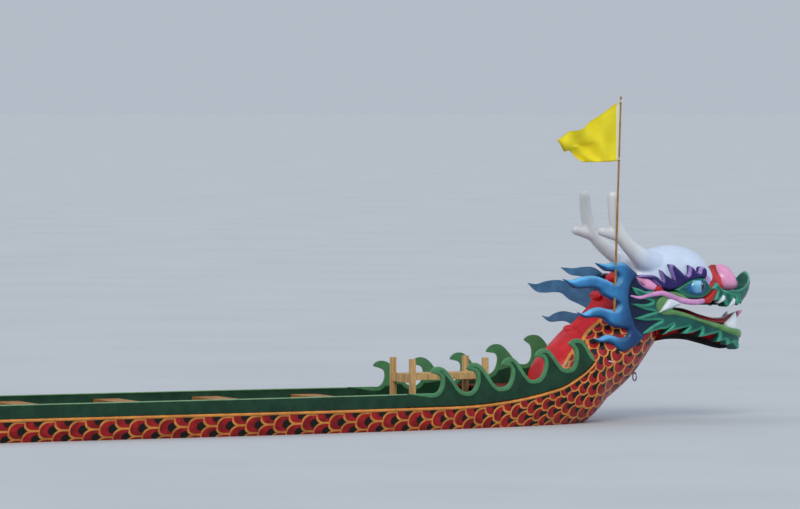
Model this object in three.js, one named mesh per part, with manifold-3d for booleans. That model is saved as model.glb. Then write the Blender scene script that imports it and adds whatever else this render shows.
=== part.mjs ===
// Traditional dragon boat: open wooden hull, carved head and tail, steering oar.
// Millimetres. +X forward, +Y port, +Z up. The origin is amidships on the waterline.
import * as THREE from 'three';
import { mergeVertices } from 'three/addons/utils/BufferGeometryUtils.js';
import Module from 'manifold-3d';

const wasm = await Module();
wasm.setup();

// Driving dimensions of the hull
const GAP = 0.3;
const HALF_BEAM = 660;
const END_HALF_BEAM = 400;
const END_X = 4870;
const FREEBOARD = 310;
const END_SHEER = 570;
const DRAFT = 200;
const END_KEEL = -22;
const PLANK = 24;
const STRAKE_DEPTH = 115;
const SHEER_START = 3400;
const TAPER_START = 1600;
const KEEL_START = 3600;

// Inside fittings
const THWART_COUNT = 8;
const THWART_FIRST_X = 2620;
const THWART_PITCH = 880;
const THWART_WIDTH = 220;
const THWART_THICK = 30;
const THWART_TOP = 262;
const RISER_WIDTH = 30;
const RISER_DEPTH = 40;
const FLOOR_TOP = -102;
const FLOOR_THICK = 18;
const FLOOR_END_X = 3560;
const DECK_TOP = 322;
const DECK_THICK = 22;
const DECK_START_X = 3980;

// Steering oar
const OAR_PIVOT = { x: -4450, y: -640, z: 720 };
const OAR_SLOPE = THREE.MathUtils.degToRad(33.5);
const OAR_AFT = 1950;
const OAR_FORE = 1000;
const OAR_RADIUS = 20;
const BLADE_LENGTH = 620;
const BLADE_WIDTH = 210;
const BLADE_THICK = 24;
const CRUTCH_INSIDE = 27;
const CRUTCH_ARM = 8;
const BOLT_RADIUS = 6;

const { lerp, clamp } = THREE.MathUtils;
const SIDES = [['starboard', -1], ['port', 1]];

// Paint and materials: colour, roughness, metalness
const FINISH = {
  sideScales: [0x8c141e, 0.35, 0],
  darkGreen: [0x14462d, 0.35, 0],
  gold: [0xc8823c, 0.35, 0],
  deckRed: [0x7a2a20, 0.6, 0],
  wood: [0xc9a06a, 0.7, 0],
  paleWood: [0xd9b98a, 0.7, 0],
  neckRed: [0xc81e28, 0.25, 0],
  maneBlue: [0x3282be, 0.35, 0],
  horn: [0xe6ecf2, 0.4, 0],
  skull: [0xbccbe0, 0.4, 0],
  purple: [0x321e78, 0.35, 0],
  eye: [0x5aaad2, 0.2, 0],
  noseRed: [0xaa1919, 0.35, 0],
  teal: [0x14504b, 0.35, 0],
  lipGreen: [0x5a965a, 0.35, 0],
  navy: [0x0f285a, 0.35, 0],
  bamboo: [0x8a6a3c, 0.5, 0],
  flagYellow: [0xf0e13c, 0.8, 0],
  steel: [0x9a9ea3, 0.35, 1],
};

const boat = new THREE.Group();

function addPiece(name, finish, geometry) {
  const [color, roughness, metalness] = FINISH[finish];
  const material = new THREE.MeshStandardMaterial({ color, roughness, metalness });
  const mesh = new THREE.Mesh(geometry, material);
  mesh.name = name;
  boat.add(mesh);
}

// A closed mesh with shared corners, faces out
function closed(geometry) {
  const plain = geometry.index ? geometry : geometry.clone();
  for (const name of ['normal', 'uv']) plain.deleteAttribute(name);
  const merged = mergeVertices(plain, 1e-3);
  if (signedVolume(merged) < 0) flip(merged);
  return merged;
}

function signedVolume(geometry) {
  const point = geometry.attributes.position;
  const index = geometry.index.array;
  const [a, b, c] = [new THREE.Vector3(), new THREE.Vector3(), new THREE.Vector3()];
  let sum = 0;
  for (let i = 0; i < index.length; i += 3) {
    a.fromBufferAttribute(point, index[i]);
    b.fromBufferAttribute(point, index[i + 1]);
    c.fromBufferAttribute(point, index[i + 2]);
    sum += a.dot(b.cross(c)) / 6;
  }
  return sum;
}

function flip(geometry) {
  const index = geometry.index.array;
  for (let i = 0; i < index.length; i += 3) {
    [index[i + 1], index[i + 2]] = [index[i + 2], index[i + 1]];
  }
}

// Booleans
function toManifold(geometry) {
  const shape = closed(geometry);
  return new wasm.Manifold(new wasm.Mesh({
    numProp: 3,
    vertProperties: new Float32Array(shape.attributes.position.array),
    triVerts: new Uint32Array(shape.index.array),
  }));
}

function toGeometry(solid) {
  const mesh = solid.getMesh();
  const geometry = new THREE.BufferGeometry();
  geometry.setAttribute('position', new THREE.BufferAttribute(mesh.vertProperties, 3));
  geometry.setIndex(new THREE.BufferAttribute(mesh.triVerts, 1));
  return geometry;
}

function join(geometries) {
  return toGeometry(geometries.map(toManifold).reduce((sum, next) => sum.add(next)));
}

function cut(geometry, tools) {
  return toGeometry(tools.map(toManifold).reduce((rest, tool) => rest.subtract(tool), toManifold(geometry)));
}

// A skin through equal rings of points, with flat ends
function loft(rings) {
  const count = rings[0].length;
  const positions = rings.flat().flatMap((p) => [p.x, p.y, p.z]);
  const index = [];
  for (let r = 0; r + 1 < rings.length; r += 1) {
    for (let i = 0; i < count; i += 1) {
      const a = r * count + i;
      const b = r * count + (i + 1) % count;
      index.push(a, b, b + count, a, b + count, a + count);
    }
  }
  const last = (rings.length - 1) * count;
  for (const [a, b, c] of capFaces(rings[0])) index.push(a, c, b);
  for (const [a, b, c] of capFaces(rings.at(-1))) index.push(last + a, last + b, last + c);
  const geometry = new THREE.BufferGeometry();
  geometry.setAttribute('position', new THREE.Float32BufferAttribute(positions, 3));
  geometry.setIndex(index);
  return closed(geometry);
}

function capFaces(ring) {
  const normal = new THREE.Vector3();
  ring.forEach((p, i) => normal.add(new THREE.Vector3().crossVectors(p, ring[(i + 1) % ring.length])));
  normal.normalize();
  const turn = new THREE.Quaternion().setFromUnitVectors(normal, new THREE.Vector3(0, 0, 1));
  const flat = ring.map((p) => p.clone().applyQuaternion(turn));
  return THREE.ShapeUtils.triangulateShape(flat.map((p) => new THREE.Vector2(p.x, p.y)), []);
}

function box(x0, x1, y0, y1, z0, z1) {
  const geometry = new THREE.BoxGeometry(x1 - x0, y1 - y0, z1 - z0);
  return geometry.translate((x0 + x1) / 2, (y0 + y1) / 2, (z0 + z1) / 2);
}

// A plate cut to an outline in X and Z, between two distances off the centre plane
function plateXZ(outline, y0, y1) {
  const shape = new THREE.Shape(outline.map(([x, z]) => new THREE.Vector2(x, z)));
  const geometry = new THREE.ExtrudeGeometry(shape, { depth: y1 - y0, bevelEnabled: false });
  return geometry.rotateX(Math.PI / 2).translate(0, y1, 0);
}

// A plate cut to an outline in X and Y, between two heights
function plateXY(outline, z0, z1) {
  const shape = new THREE.Shape(outline.map(([x, y]) => new THREE.Vector2(x, y)));
  const geometry = new THREE.ExtrudeGeometry(shape, { depth: z1 - z0, bevelEnabled: false });
  return geometry.translate(0, 0, z0);
}

// A round bar that changes radius along a smooth path
function taperedBar(points, radii, sides, steps) {
  const curve = new THREE.CatmullRomCurve3(points.map((p) => new THREE.Vector3(...p)));
  const { normals, binormals } = curve.computeFrenetFrames(steps, false);
  const rings = [];
  for (let i = 0; i <= steps; i += 1) {
    const along = (i / steps) * (radii.length - 1);
    const low = Math.min(Math.floor(along), radii.length - 2);
    const radius = lerp(radii[low], radii[low + 1], along - low);
    const centre = curve.getPointAt(i / steps);
    rings.push(Array.from({ length: sides }, (_, k) => {
      const angle = (k / sides) * 2 * Math.PI;
      return centre.clone()
        .addScaledVector(normals[i], radius * Math.cos(angle))
        .addScaledVector(binormals[i], radius * Math.sin(angle));
    }));
  }
  return loft(rings);
}

function mirrorY(geometry, side) {
  return side > 0 ? geometry : closed(geometry.scale(1, -1, 1));
}

// Hull form, as functions of the distance from amidships
function ramp(x, start, power) {
  return Math.pow(clamp((Math.abs(x) - start) / (END_X - start), 0, 1), power);
}

const halfBeam = (x) => lerp(HALF_BEAM, END_HALF_BEAM, ramp(x, TAPER_START, 1.7));
const sheer = (x) => lerp(FREEBOARD, END_SHEER, ramp(x, SHEER_START, 2.1));
const keelLine = (x) => lerp(-DRAFT, END_KEEL, ramp(x, KEEL_START, 3.0));
const fullness = (x) => lerp(0.75, 0.95, ramp(x, TAPER_START, 1.5));

// Upper edge of the painted side: it runs level and then swings up to the sheer at each end
function railLine(x) {
  const depth = STRAKE_DEPTH * (1 + 0.35 * ramp(x, SHEER_START, 1.5));
  return sheer(x) - depth * Math.pow(clamp((END_X + 15 - Math.abs(x)) / 330, 0, 1), 0.45);
}

function hullAngle(x, z) {
  return Math.acos(clamp((sheer(x) - z) / (sheer(x) - keelLine(x)), 0, 1));
}

function hullY(x, z) {
  return halfBeam(x) * Math.pow(Math.sin(hullAngle(x, z)), fullness(x));
}

const CHINE = 0.95;
const SEAM = 0.0015;
const railAngle = (x) => hullAngle(x, railLine(x));

// Point on the hull section at x, inset square to the bottom and level with the upper side
function hullPoint(x, angle, inset) {
  const point = (t) => {
    const y = halfBeam(x) * Math.sign(t) * Math.pow(Math.abs(Math.sin(t)), fullness(x));
    return new THREE.Vector2(y, sheer(x) - (sheer(x) - keelLine(x)) * Math.cos(t));
  };
  const here = point(angle);
  const along = point(angle + 0.01).sub(point(angle - 0.01)).normalize();
  const level = clamp((Math.abs(angle) - CHINE) / (railAngle(x) - CHINE), 0, 1);
  const inY = lerp(along.y, Math.sign(angle), level);
  return new THREE.Vector3(x, here.x - inY * inset, here.y + lerp(along.x, 0, level) * inset);
}

const END_STATIONS = [2400, 3000, 3400, 3700, 3950, 4200, 4400, 4560, 4680, 4760, 4810, 4845, END_X - GAP];
const STATIONS = [...END_STATIONS.map((x) => -x).reverse(), -1500, 0, 1500, ...END_STATIONS];

// Plank of the hull's shell between two section angles that may change along the boat
function shellPlank(stations, lowAngle, highAngle, steps, swell = 0) {
  return loft(stations.map((x) => {
    const angles = Array.from({ length: steps + 1 }, (_, i) => lerp(lowAngle(x), highAngle(x), i / steps));
    const outside = angles.map((angle) => hullPoint(x, angle, -swell));
    const inside = angles.map((angle) => hullPoint(x, angle, PLANK)).reverse();
    return [...outside, ...inside];
  }));
}

// The bottom swollen outwards, for cutting what stands in it
const underFloor = () => shellPlank(STATIONS, () => -CHINE, () => CHINE, 12, 90).translate(0, 0, GAP);

// The shell's planks are laid in lengths that butt together: name, aft end, fore end
const FOREFOOT_X = 3400;
const BOTTOM_LENGTHS = [
  ['stern', -END_X, -FOREFOOT_X],
  ['aft', -FOREFOOT_X, -1500],
  ['mid_aft', -1500, 0],
  ['mid_fore', 0, 1500],
  ['fore', 1500, FOREFOOT_X],
  ['bow', FOREFOOT_X, END_X],
];
const SIDE_LENGTHS = [
  ['stern', -END_X, -2400],
  ['mid', -2400, 2400],
  ['bow', 2400, END_X],
];

function stationsBetween(aft, fore) {
  const inside = STATIONS.filter((x) => x > aft && x < fore);
  const first = aft > -END_X ? [aft + GAP / 2] : [];
  const last = fore < END_X ? [fore - GAP / 2] : [];
  return [...first, ...inside, ...last];
}

function addHullShell() {
  for (const [length, aft, fore] of BOTTOM_LENGTHS) {
    const shell = shellPlank(stationsBetween(aft, fore), () => -CHINE, () => CHINE, 12);
    const risesToEnd = fore > FOREFOOT_X || aft < -FOREFOOT_X;
    const bottom = risesToEnd ? join([shell, forefoot(Math.sign(fore + aft))]) : shell;
    addPiece(`hull_bottom_${length}`, 'deckRed', bottom);
  }
  for (const [length, aft, fore] of SIDE_LENGTHS) {
    for (const [label, side] of SIDES) {
      const plank = shellPlank(stationsBetween(aft, fore), () => CHINE + SEAM, (x) => railAngle(x) - SEAM, 4);
      addPiece(`hull_side_${length}_${label}`, 'sideScales', mirrorY(plank, side));
    }
  }
}

const MID_END = 3050;
const WAVE_BOARD_CLEAR = 12;

function addGunwales() {
  const stations = STATIONS.filter((x) => Math.abs(x) < MID_END - 1);
  const all = [-MID_END + GAP, ...stations, MID_END - GAP];
  for (const [label, side] of SIDES) {
    const strake = shellPlank(all, (x) => railAngle(x) + SEAM, () => Math.PI / 2, 2);
    addPiece(`gunwale_${label}`, 'darkGreen', mirrorY(strake, side));
  }
}

// One breaking wave in parts of its base length and in millimetres of height, from aft to fore
const WAVE = [
  [0, 0], [0.16, 16], [0.28, 62], [0.334, 118], [0.29, 172], [0.15, 203], [-0.03, 212],
  [0.11, 232], [0.334, 225], [0.53, 166], [0.74, 78], [0.98, 0],
];

// Waves on each end: start, base length, height factor
const WAVES = [
  [3255, 340, 0.93],
  [3598, 336, 1.0],
  [3940, 318, 1.0],
  [4262, 335, 1.06],
  [4606, 232, 1.04],
];

function waveBoardOutline() {
  const top = [[MID_END, FREEBOARD]];
  for (const [start, length, height] of WAVES) {
    for (const [u, v] of WAVE) {
      const x = start + u * length;
      const base = sheer(start + clamp(u, 0, 1) * length);
      top.push([x, base + v * height]);
    }
  }
  top.push([END_X - 2 * GAP, sheer(END_X)]);
  const below = END_STATIONS.filter((x) => x > MID_END && x < END_X - 1).reverse();
  const bottom = [...below, MID_END].map((x) => [x, railLine(x) + 2 * GAP]);
  return [...top, ...bottom];
}

// Bends a plate, drawn in X and Z with its outside at y = 0, onto the hull's side
function bendToHull(geometry) {
  const point = geometry.attributes.position;
  for (let i = 0; i < point.count; i += 1) {
    const x = point.getX(i);
    const z = Math.min(point.getZ(i), sheer(x));
    point.setY(i, hullY(x, z) + point.getY(i));
  }
  return closed(geometry);
}

function waveBoard(fore, side) {
  const board = bendToHull(plateXZ(waveBoardOutline(), -PLANK, 0));
  return closed(board.scale(fore, side, 1));
}

function addWaveBoards() {
  for (const [label, side] of SIDES) {
    for (const [end, fore] of [['bow', 1], ['stern', -1]]) {
      addPiece(`wave_board_${end}_${label}`, 'darkGreen', waveBoard(fore, side));
    }
  }
}

const RAIL_WIDTH = 24;
const RAIL_PROUD = 12;
const RAIL_CLEAR = 0.8;

function addRubRails() {
  for (const [label, side] of SIDES) {
    const rings = STATIONS.map((x) => {
      const z = railLine(x) - RAIL_WIDTH * 0.6;
      const high = hullPoint(x, hullAngle(x, z + RAIL_WIDTH / 2), -RAIL_CLEAR);
      const low = hullPoint(x, hullAngle(x, z - RAIL_WIDTH / 2), -RAIL_CLEAR);
      const out = new THREE.Vector3(0, RAIL_PROUD, 0);
      return [low, low.clone().add(out), high.clone().add(out), high];
    });
    addPiece(`rub_rail_${label}`, 'gold', mirrorY(loft(rings), side));
  }
}

const KEEL_HALF = 28;
const KEEL_DEPTH = 45;
const FOREFOOT_END = END_X - 60;

function keelBar(stations, lift) {
  return loft(stations.map((x) => {
    const top = keelLine(x) + lift;
    const foot = keelLine(x) - GAP - KEEL_DEPTH;
    return [
      new THREE.Vector3(x, -KEEL_HALF, top),
      new THREE.Vector3(x, KEEL_HALF, top),
      new THREE.Vector3(x, KEEL_HALF, foot),
      new THREE.Vector3(x, -KEEL_HALF, foot),
    ];
  }));
}

// The keel timber is straight, and its rise to each end is part of the moulded bottom there
function addKeel() {
  addPiece('keel', 'deckRed', keelBar([GAP / 2 - FOREFOOT_X, FOREFOOT_X - GAP / 2], -GAP));
}

function forefoot(end) {
  const rising = STATIONS.filter((x) => x > FOREFOOT_X && x < FOREFOOT_END);
  const stations = [FOREFOOT_X + GAP / 2, ...rising].map((x) => x * end);
  return keelBar(end > 0 ? stations : stations.reverse(), PLANK / 2);
}

// Clear half width inside the flat-sided planks at a height
function insideHalf(x, z) {
  const next = STATIONS.findIndex((station) => station > x);
  const [a, b] = [STATIONS[next - 1], STATIONS[next]];
  const skin = lerp(hullY(a, z), hullY(b, z), (x - a) / (b - a));
  return skin - PLANK - (Math.abs(x) > MID_END - 20 ? WAVE_BOARD_CLEAR : RAIL_CLEAR);
}

function addSeating() {
  const riserTop = THWART_TOP - THWART_THICK - GAP;
  const inner = STATIONS.filter((x) => Math.abs(x) < MID_END - 20);
  const stations = [-3700, -3400, 20 - MID_END - 1, ...inner, MID_END - 19, 3400, 3700];
  for (const [label, side] of SIDES) {
    const rings = stations.map((x) => {
      const high = insideHalf(x, riserTop);
      const low = insideHalf(x, riserTop - RISER_DEPTH);
      return [
        new THREE.Vector3(x, low - RISER_WIDTH, riserTop - RISER_DEPTH),
        new THREE.Vector3(x, low, riserTop - RISER_DEPTH),
        new THREE.Vector3(x, high, riserTop),
        new THREE.Vector3(x, low - RISER_WIDTH, riserTop),
      ];
    });
    addPiece(`seat_riser_${label}`, 'wood', mirrorY(loft(rings), side));
  }
  for (let i = 0; i < THWART_COUNT; i += 1) {
    const x = THWART_FIRST_X - i * THWART_PITCH;
    const far = Math.max(Math.abs(x - THWART_WIDTH / 2), Math.abs(x + THWART_WIDTH / 2));
    const half = insideHalf(far, THWART_TOP - THWART_THICK);
    const board = box(x - THWART_WIDTH / 2, x + THWART_WIDTH / 2, -half, half, THWART_TOP - THWART_THICK, THWART_TOP);
    addPiece(`thwart_${i + 1}`, 'wood', board);
  }
}

function addFloorboards() {
  const planks = [-165, 0, 165].map((y) => (
    box(-FLOOR_END_X, FLOOR_END_X, y - 75, y + 75, FLOOR_TOP - FLOOR_THICK, FLOOR_TOP)
  ));
  const bearers = [-3400, -2200, -700, 700, 2200, 3400].map((x) => (
    box(x - 20, x + 20, -225, 225, -DRAFT + 8, FLOOR_TOP - FLOOR_THICK + 2)
  ));
  addPiece('floorboards', 'wood', cut(join([...planks, ...bearers]), [underFloor()]));
}

function addDecks() {
  const stations = [DECK_START_X, 4200, 4400, 4560, 4680, END_X - GAP - 0.1];
  const edge = stations.map((x) => [x, insideHalf(x, DECK_TOP - DECK_THICK)]);
  const outline = [...edge, ...edge.map(([x, y]) => [x, -y]).reverse()];
  addPiece('foredeck', 'deckRed', plateXY(outline, DECK_TOP - DECK_THICK, DECK_TOP));
  const aft = outline.map(([x, y]) => [-x, y]);
  addPiece('afterdeck', 'deckRed', closed(plateXY(aft, DECK_TOP - DECK_THICK, DECK_TOP)));
}

const STAND_X = [3275, 3945];
const STAND_HALF = 190;
const STAND_POST = 44;
const STAND_TOP = 575;
const STAND_SEAT = 445;

function addDrumStand() {
  const half = STAND_POST / 2;
  const pieces = [];
  for (const [x, foot] of [[STAND_X[0], FLOOR_TOP + GAP], [STAND_X[1], -DRAFT]]) {
    for (const y of [-STAND_HALF, STAND_HALF]) {
      pieces.push(box(x - half, x + half, y - half, y + half, foot, STAND_TOP));
    }
    pieces.push(box(x - 12, x + 12, -STAND_HALF, STAND_HALF, STAND_SEAT - 70, STAND_SEAT));
    pieces.push(box(x - 10, x + 10, -STAND_HALF, STAND_HALF, 60, 100));
  }
  for (const y of [-STAND_HALF, STAND_HALF]) {
    pieces.push(box(STAND_X[0], STAND_X[1], y - 12, y + 12, STAND_SEAT - 45, STAND_SEAT - 1));
    pieces.push(box(STAND_X[0], STAND_X[1], y - 10, y + 10, 62, 98));
  }
  for (const y of [-95, 0, 95]) {
    pieces.push(box(STAND_X[0] - 12, STAND_X[1] + 12, y - 40, y + 40, STAND_SEAT - 20, STAND_SEAT + 2));
  }
  addPiece('drum_stand', 'paleWood', cut(join(pieces), [underFloor()]));
}

// Egg-shaped section between a lower and an upper point in the centre plane
// widest: the part of the way up where the section is widest
function eggRing(low, high, half, widest, flat, points, grow = 0) {
  const axis = new THREE.Vector2(high[0] - low[0], high[1] - low[1]);
  const unit = axis.clone().normalize().multiplyScalar(grow);
  const start = new THREE.Vector2(low[0], low[1]).sub(unit);
  axis.addScaledVector(unit, 2);
  const power = Math.log(0.5) / Math.log(widest);
  const side = (k) => {
    const s = (1 - Math.cos((k / points) * Math.PI)) / 2;
    const y = (half + grow) * Math.pow(Math.sin(Math.PI * Math.pow(s, power)), flat);
    return new THREE.Vector3(start.x + axis.x * s, y, start.y + axis.y * s);
  };
  const up = Array.from({ length: points + 1 }, (_, k) => side(k));
  up[0].y = 0;
  up[points].y = 0;
  const down = up.slice(1, points).reverse().map((p) => new THREE.Vector3(p.x, -p.y, p.z));
  return [...up, ...down];
}

// Neck sections: throat x z, back x z, half width, widest part, flatness of the side
const NECK = [
  [END_X, END_KEEL, END_X, 862, 398, 0.55, 0.5],
  [5120, 155, 4905, 905, 345, 0.55, 0.55],
  [5300, 285, 4950, 950, 310, 0.53, 0.6],
  [5427, 395, 5010, 1000, 285, 0.52, 0.65],
  [5520, 510, 5060, 1080, 268, 0.5, 0.68],
  [5600, 615, 5125, 1150, 256, 0.5, 0.7],
  [5652, 685, 5190, 1213, 250, 0.5, 0.7],
];

// Skull sections from the neck to the muzzle, in the same columns
const SKULL = [
  [5653, 685.5, 5190.5, 1214, 252, 0.5, 0.55],
  [5653, 900, 5300, 1345, 262, 0.5, 0.55],
  [5710, 1000, 5480, 1425, 265, 0.5, 0.55],
  [5880, 1000, 5760, 1486, 250, 0.5, 0.55],
  [6050, 1000, 6010, 1430, 205, 0.45, 0.55],
  [6150, 1018, 6150, 1285, 140, 0.45, 0.55],
];

const MUZZLE = [
  [6150.3, 1020, 6150.3, 1285, 138, 0.5, 0.55],
  [6200, 1112, 6200, 1298, 132, 0.5, 0.55],
  [6268, 1114, 6268, 1302, 120, 0.5, 0.55],
];

const NOSE = [
  [6258, 1118, 6258, 1300, 112, 0.5, 0.6],
  [6310, 1096, 6290, 1317, 135, 0.5, 0.6],
  [6360, 1094, 6350, 1290, 128, 0.5, 0.6],
  [6404, 1146, 6396, 1225, 80, 0.5, 0.6],
];

// Lower jaw and tongue: underside x z, upper x z, half width, widest part, flatness of the side
const JAW = [
  [5654, 690, 5654, 892, 205, 0.55, 0.4],
  [5760, 688, 5760, 940, 205, 0.6, 0.4],
  [5920, 680, 5920, 900, 198, 0.6, 0.4],
  [6060, 648, 6060, 865, 190, 0.6, 0.4],
  [6225, 604, 6225, 818, 180, 0.6, 0.4],
  [6360, 600, 6370, 765, 155, 0.6, 0.4],
  [6440, 615, 6462, 715, 105, 0.55, 0.4],
];

const TONGUE = [
  [5780, 942, 5780, 972, 95, 0.5, 0.5],
  [5920, 903, 5920, 960, 105, 0.5, 0.5],
  [6060, 868, 6060, 912, 105, 0.5, 0.5],
  [6200, 830, 6195, 877, 95, 0.5, 0.5],
  [6320, 800, 6305, 876, 85, 0.5, 0.5],
  [6420, 850, 6393, 908, 70, 0.5, 0.5],
  [6490, 905, 6480, 928, 35, 0.5, 0.5],
];

const TONGUE_SINK = 18;

function eggLoft(table, points, grow = 0) {
  return loft(table.map(([lx, lz, hx, hz, half, widest, flat]) => (
    eggRing([lx, lz], [hx, hz], half, widest, flat, points, grow)
  )));
}

// Rolled ridge across the back of the neck: x, z and the slope of the back there in degrees
const NECK_RIDGE = [5090, 1048, 58];
const RIDGE_SIZE = { along: 52, across: 118, high: 50 };

function ridge([x, z, slope]) {
  const { along, across, high } = RIDGE_SIZE;
  const lump = new THREE.SphereGeometry(1, 12, 8).scale(along, across, high);
  return lump.rotateY(-THREE.MathUtils.degToRad(slope)).translate(x, 0, z);
}

function addHeadBlocks() {
  addPiece('neck', 'sideScales', join([eggLoft(NECK, 10), ridge(NECK_RIDGE)]));
  addPiece('skull', 'skull', eggLoft(SKULL, 10));
  addPiece('muzzle', 'noseRed', join([eggLoft(MUZZLE, 8), eggLoft(NOSE, 8)]));
  addPiece('lower_jaw', 'lipGreen', join([eggLoft(JAW, 8), eggLoft(TONGUE, 6).translate(0, 0, -TONGUE_SINK)]));
}

// Red heel of the neck on the foredeck: x, top, half width
const HEEL = [
  [4470, 395, 250],
  [4545, 590, 300],
  [4610, 655, 305],
  [4740, 742, 305],
  [END_X - GAP, 861, 300],
];

const HEEL_RIDGE = [4790, 772, 40];

function addHeel() {
  const foot = DECK_TOP + GAP;
  const rings = HEEL.map(([x, top, half]) => {
    const points = Array.from({ length: 9 }, (_, k) => {
      const angle = (k / 8) * Math.PI;
      const y = -half * Math.cos(angle);
      return new THREE.Vector3(x, y, foot + (top - foot) * (0.25 + 0.75 * Math.pow(Math.sin(angle), 0.7)));
    });
    return [new THREE.Vector3(x, -half, foot), ...points, new THREE.Vector3(x, half, foot)];
  });
  addPiece('neck_heel', 'neckRed', join([loft(rings), ridge(HEEL_RIDGE)]));
}

const LIP = [
  [6203, 1016], [6192, 1085], [6231, 1105], [6300, 1105], [6354, 1085], [6412, 1140], [6429, 1198],
  [6463, 1234], [6511, 1249], [6559, 1227], [6576, 1179], [6566, 1094], [6532, 1022],
  [6463, 963], [6383, 975], [6313, 962], [6262, 995],
];
const LIP_HALF = 150;

function addLip() {
  const tools = [eggLoft(MUZZLE, 8, GAP), eggLoft(NOSE, 8, GAP)];
  addPiece('upper_lip', 'teal', cut(plateXZ(LIP, -LIP_HALF, LIP_HALF), tools));
}

// Beard under the jaw, along its two sides: upper x z, tip x z
const BEARD = [
  [5600, 688], [5619, 640], [5700, 678], [5805, 628], [5860, 668], [5961, 600], [5990, 640],
  [6137, 556], [6160, 610], [6232, 552], [6250, 590], [6328, 545], [6345, 588], [6400, 570], [6430, 600],
];

function addBeard() {
  const outline = [...BEARD, [6340, 640], [6100, 700], [5900, 730], [5700, 730]];
  const tools = [eggLoft(JAW, 8, GAP), ...headTools()];
  addPiece('beard', 'teal', cut(plateXZ(outline, -60, 60), tools));
}

// Horn centre lines: x, off the centre plane, z
const HORN = [
  [5500, 165, 1320], [5400, 215, 1400], [5300, 245, 1487], [5200, 255, 1572],
  [5140, 260, 1665], [5118, 260, 1790], [5108, 262, 1935],
];
const HORN_RADII = [62, 62, 60, 56, 54, 52, 40];
const HORN_BRANCH = [[5215, 255, 1560], [5140, 250, 1582], [5055, 243, 1603], [4975, 240, 1625]];
const HORN_BRANCH_RADII = [45, 38, 34, 24];

// The neck and skull with a small clearance, for cutting what sits on them
function headTools() {
  const swollen = (shift) => [
    eggLoft(NECK, 10, 2 * GAP).translate(shift, 0, 0),
    eggLoft(SKULL, 10, 2 * GAP).translate(shift, 0, 0),
  ];
  return [-2 * GAP, 0, 2 * GAP].flatMap(swollen);
}

function addHorns() {
  for (const [label, side] of SIDES) {
    const main = taperedBar(HORN, HORN_RADII, 10, 12);
    const branch = taperedBar(HORN_BRANCH, HORN_BRANCH_RADII, 8, 5);
    const horn = mirrorY(join([main, branch]), side);
    addPiece(`horn_${label}`, 'horn', cut(horn, headTools()));
  }
}

// Outline of one mane: the collar's front edge from top to foot, then the four locks from foot to top
const MANE = [
  [5184, 1363], [5314, 1259], [5246, 1148], [5238, 1060], [5251, 988], [5271, 878], [5383, 729], [5309, 657],
  [5186, 606], [5119, 619], [5043, 679], [4968, 681], [4892, 720], [4958, 731], [5062, 746],
  [5157, 762], [5190, 785], [5157, 806], [5024, 831], [4948, 892], [4816, 890], [4744, 948],
  [4816, 936], [4929, 980], [5062, 974], [5120, 962], [5150, 990], [5122, 1025], [5081, 1040],
  [4958, 1076], [4864, 1145], [4713, 1147], [4624, 1229], [4713, 1227], [4835, 1246], [4977, 1227],
  [5091, 1184], [5135, 1180], [5150, 1210], [5132, 1240], [5062, 1277], [5005, 1303], [4934, 1356], [5024, 1361],
];
const MANE_INSIDE = 240;
const MANE_OUTSIDE = 318;

function addManes() {
  for (const [label, side] of SIDES) {
    const plate = mirrorY(plateXZ(MANE, MANE_INSIDE, MANE_OUTSIDE), side);
    addPiece(`mane_${label}`, 'maneBlue', cut(plate, headTools()));
  }
}

// Carved outlines on each side of the head: the brow with the ear behind it, and the cheek's flames
const BROW = [
  [5329, 1236], [5410, 1232], [5505, 1234], [5555, 1284], [5596, 1200], [5645, 1336], [5706, 1206],
  [5834, 1322], [5812, 1232], [5908, 1242], [5949, 1306], [5975, 1219], [5808, 1206], [5706, 1149],
  [5605, 1123], [5505, 1169],
];
const EAR = [[5322, 1229], [5350, 1238], [5404, 1225], [5498, 1180], [5478, 1106], [5366, 1145]];
const CHEEK = [
  [5540, 1105], [5420, 1100], [5262, 1100], [5355, 1040], [5250, 1004], [5358, 935], [5290, 882],
  [5400, 830], [5392, 740], [5545, 800], [5600, 905], [5545, 960],
];

// Barbels along the cheeks: x, off the centre plane, z
const BARBEL = [
  [5962, 262, 1019], [5825, 284, 1021], [5690, 296, 1052], [5560, 300, 1085], [5400, 302, 1083], [5252, 330, 1072],
];
const BARBEL_RADII = [24, 24, 22, 20, 16, 8];

function addCheekPieces() {
  const maneFront = plateXZ(MANE, 180, MANE_OUTSIDE + 1).translate(GAP, 0, 0);
  const barbel = taperedBar(BARBEL, BARBEL_RADII, 8, 12);
  const pieces = [
    ['brow', 'purple', join([plateXZ(BROW, 180, 292), plateXZ(EAR, 200, 300)])],
    ['cheek', 'navy', join([cut(plateXZ(CHEEK, 200, 284), [maneFront]), barbel])],
    ['eye', 'eye', new THREE.SphereGeometry(64, 16, 10).translate(5922, 190, 1140)],
  ];
  for (const [label, side] of SIDES) {
    for (const [name, finish, geometry] of pieces) {
      addPiece(`${name}_${label}`, finish, cut(mirrorY(geometry.clone(), side), headTools()));
    }
  }
}

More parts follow.
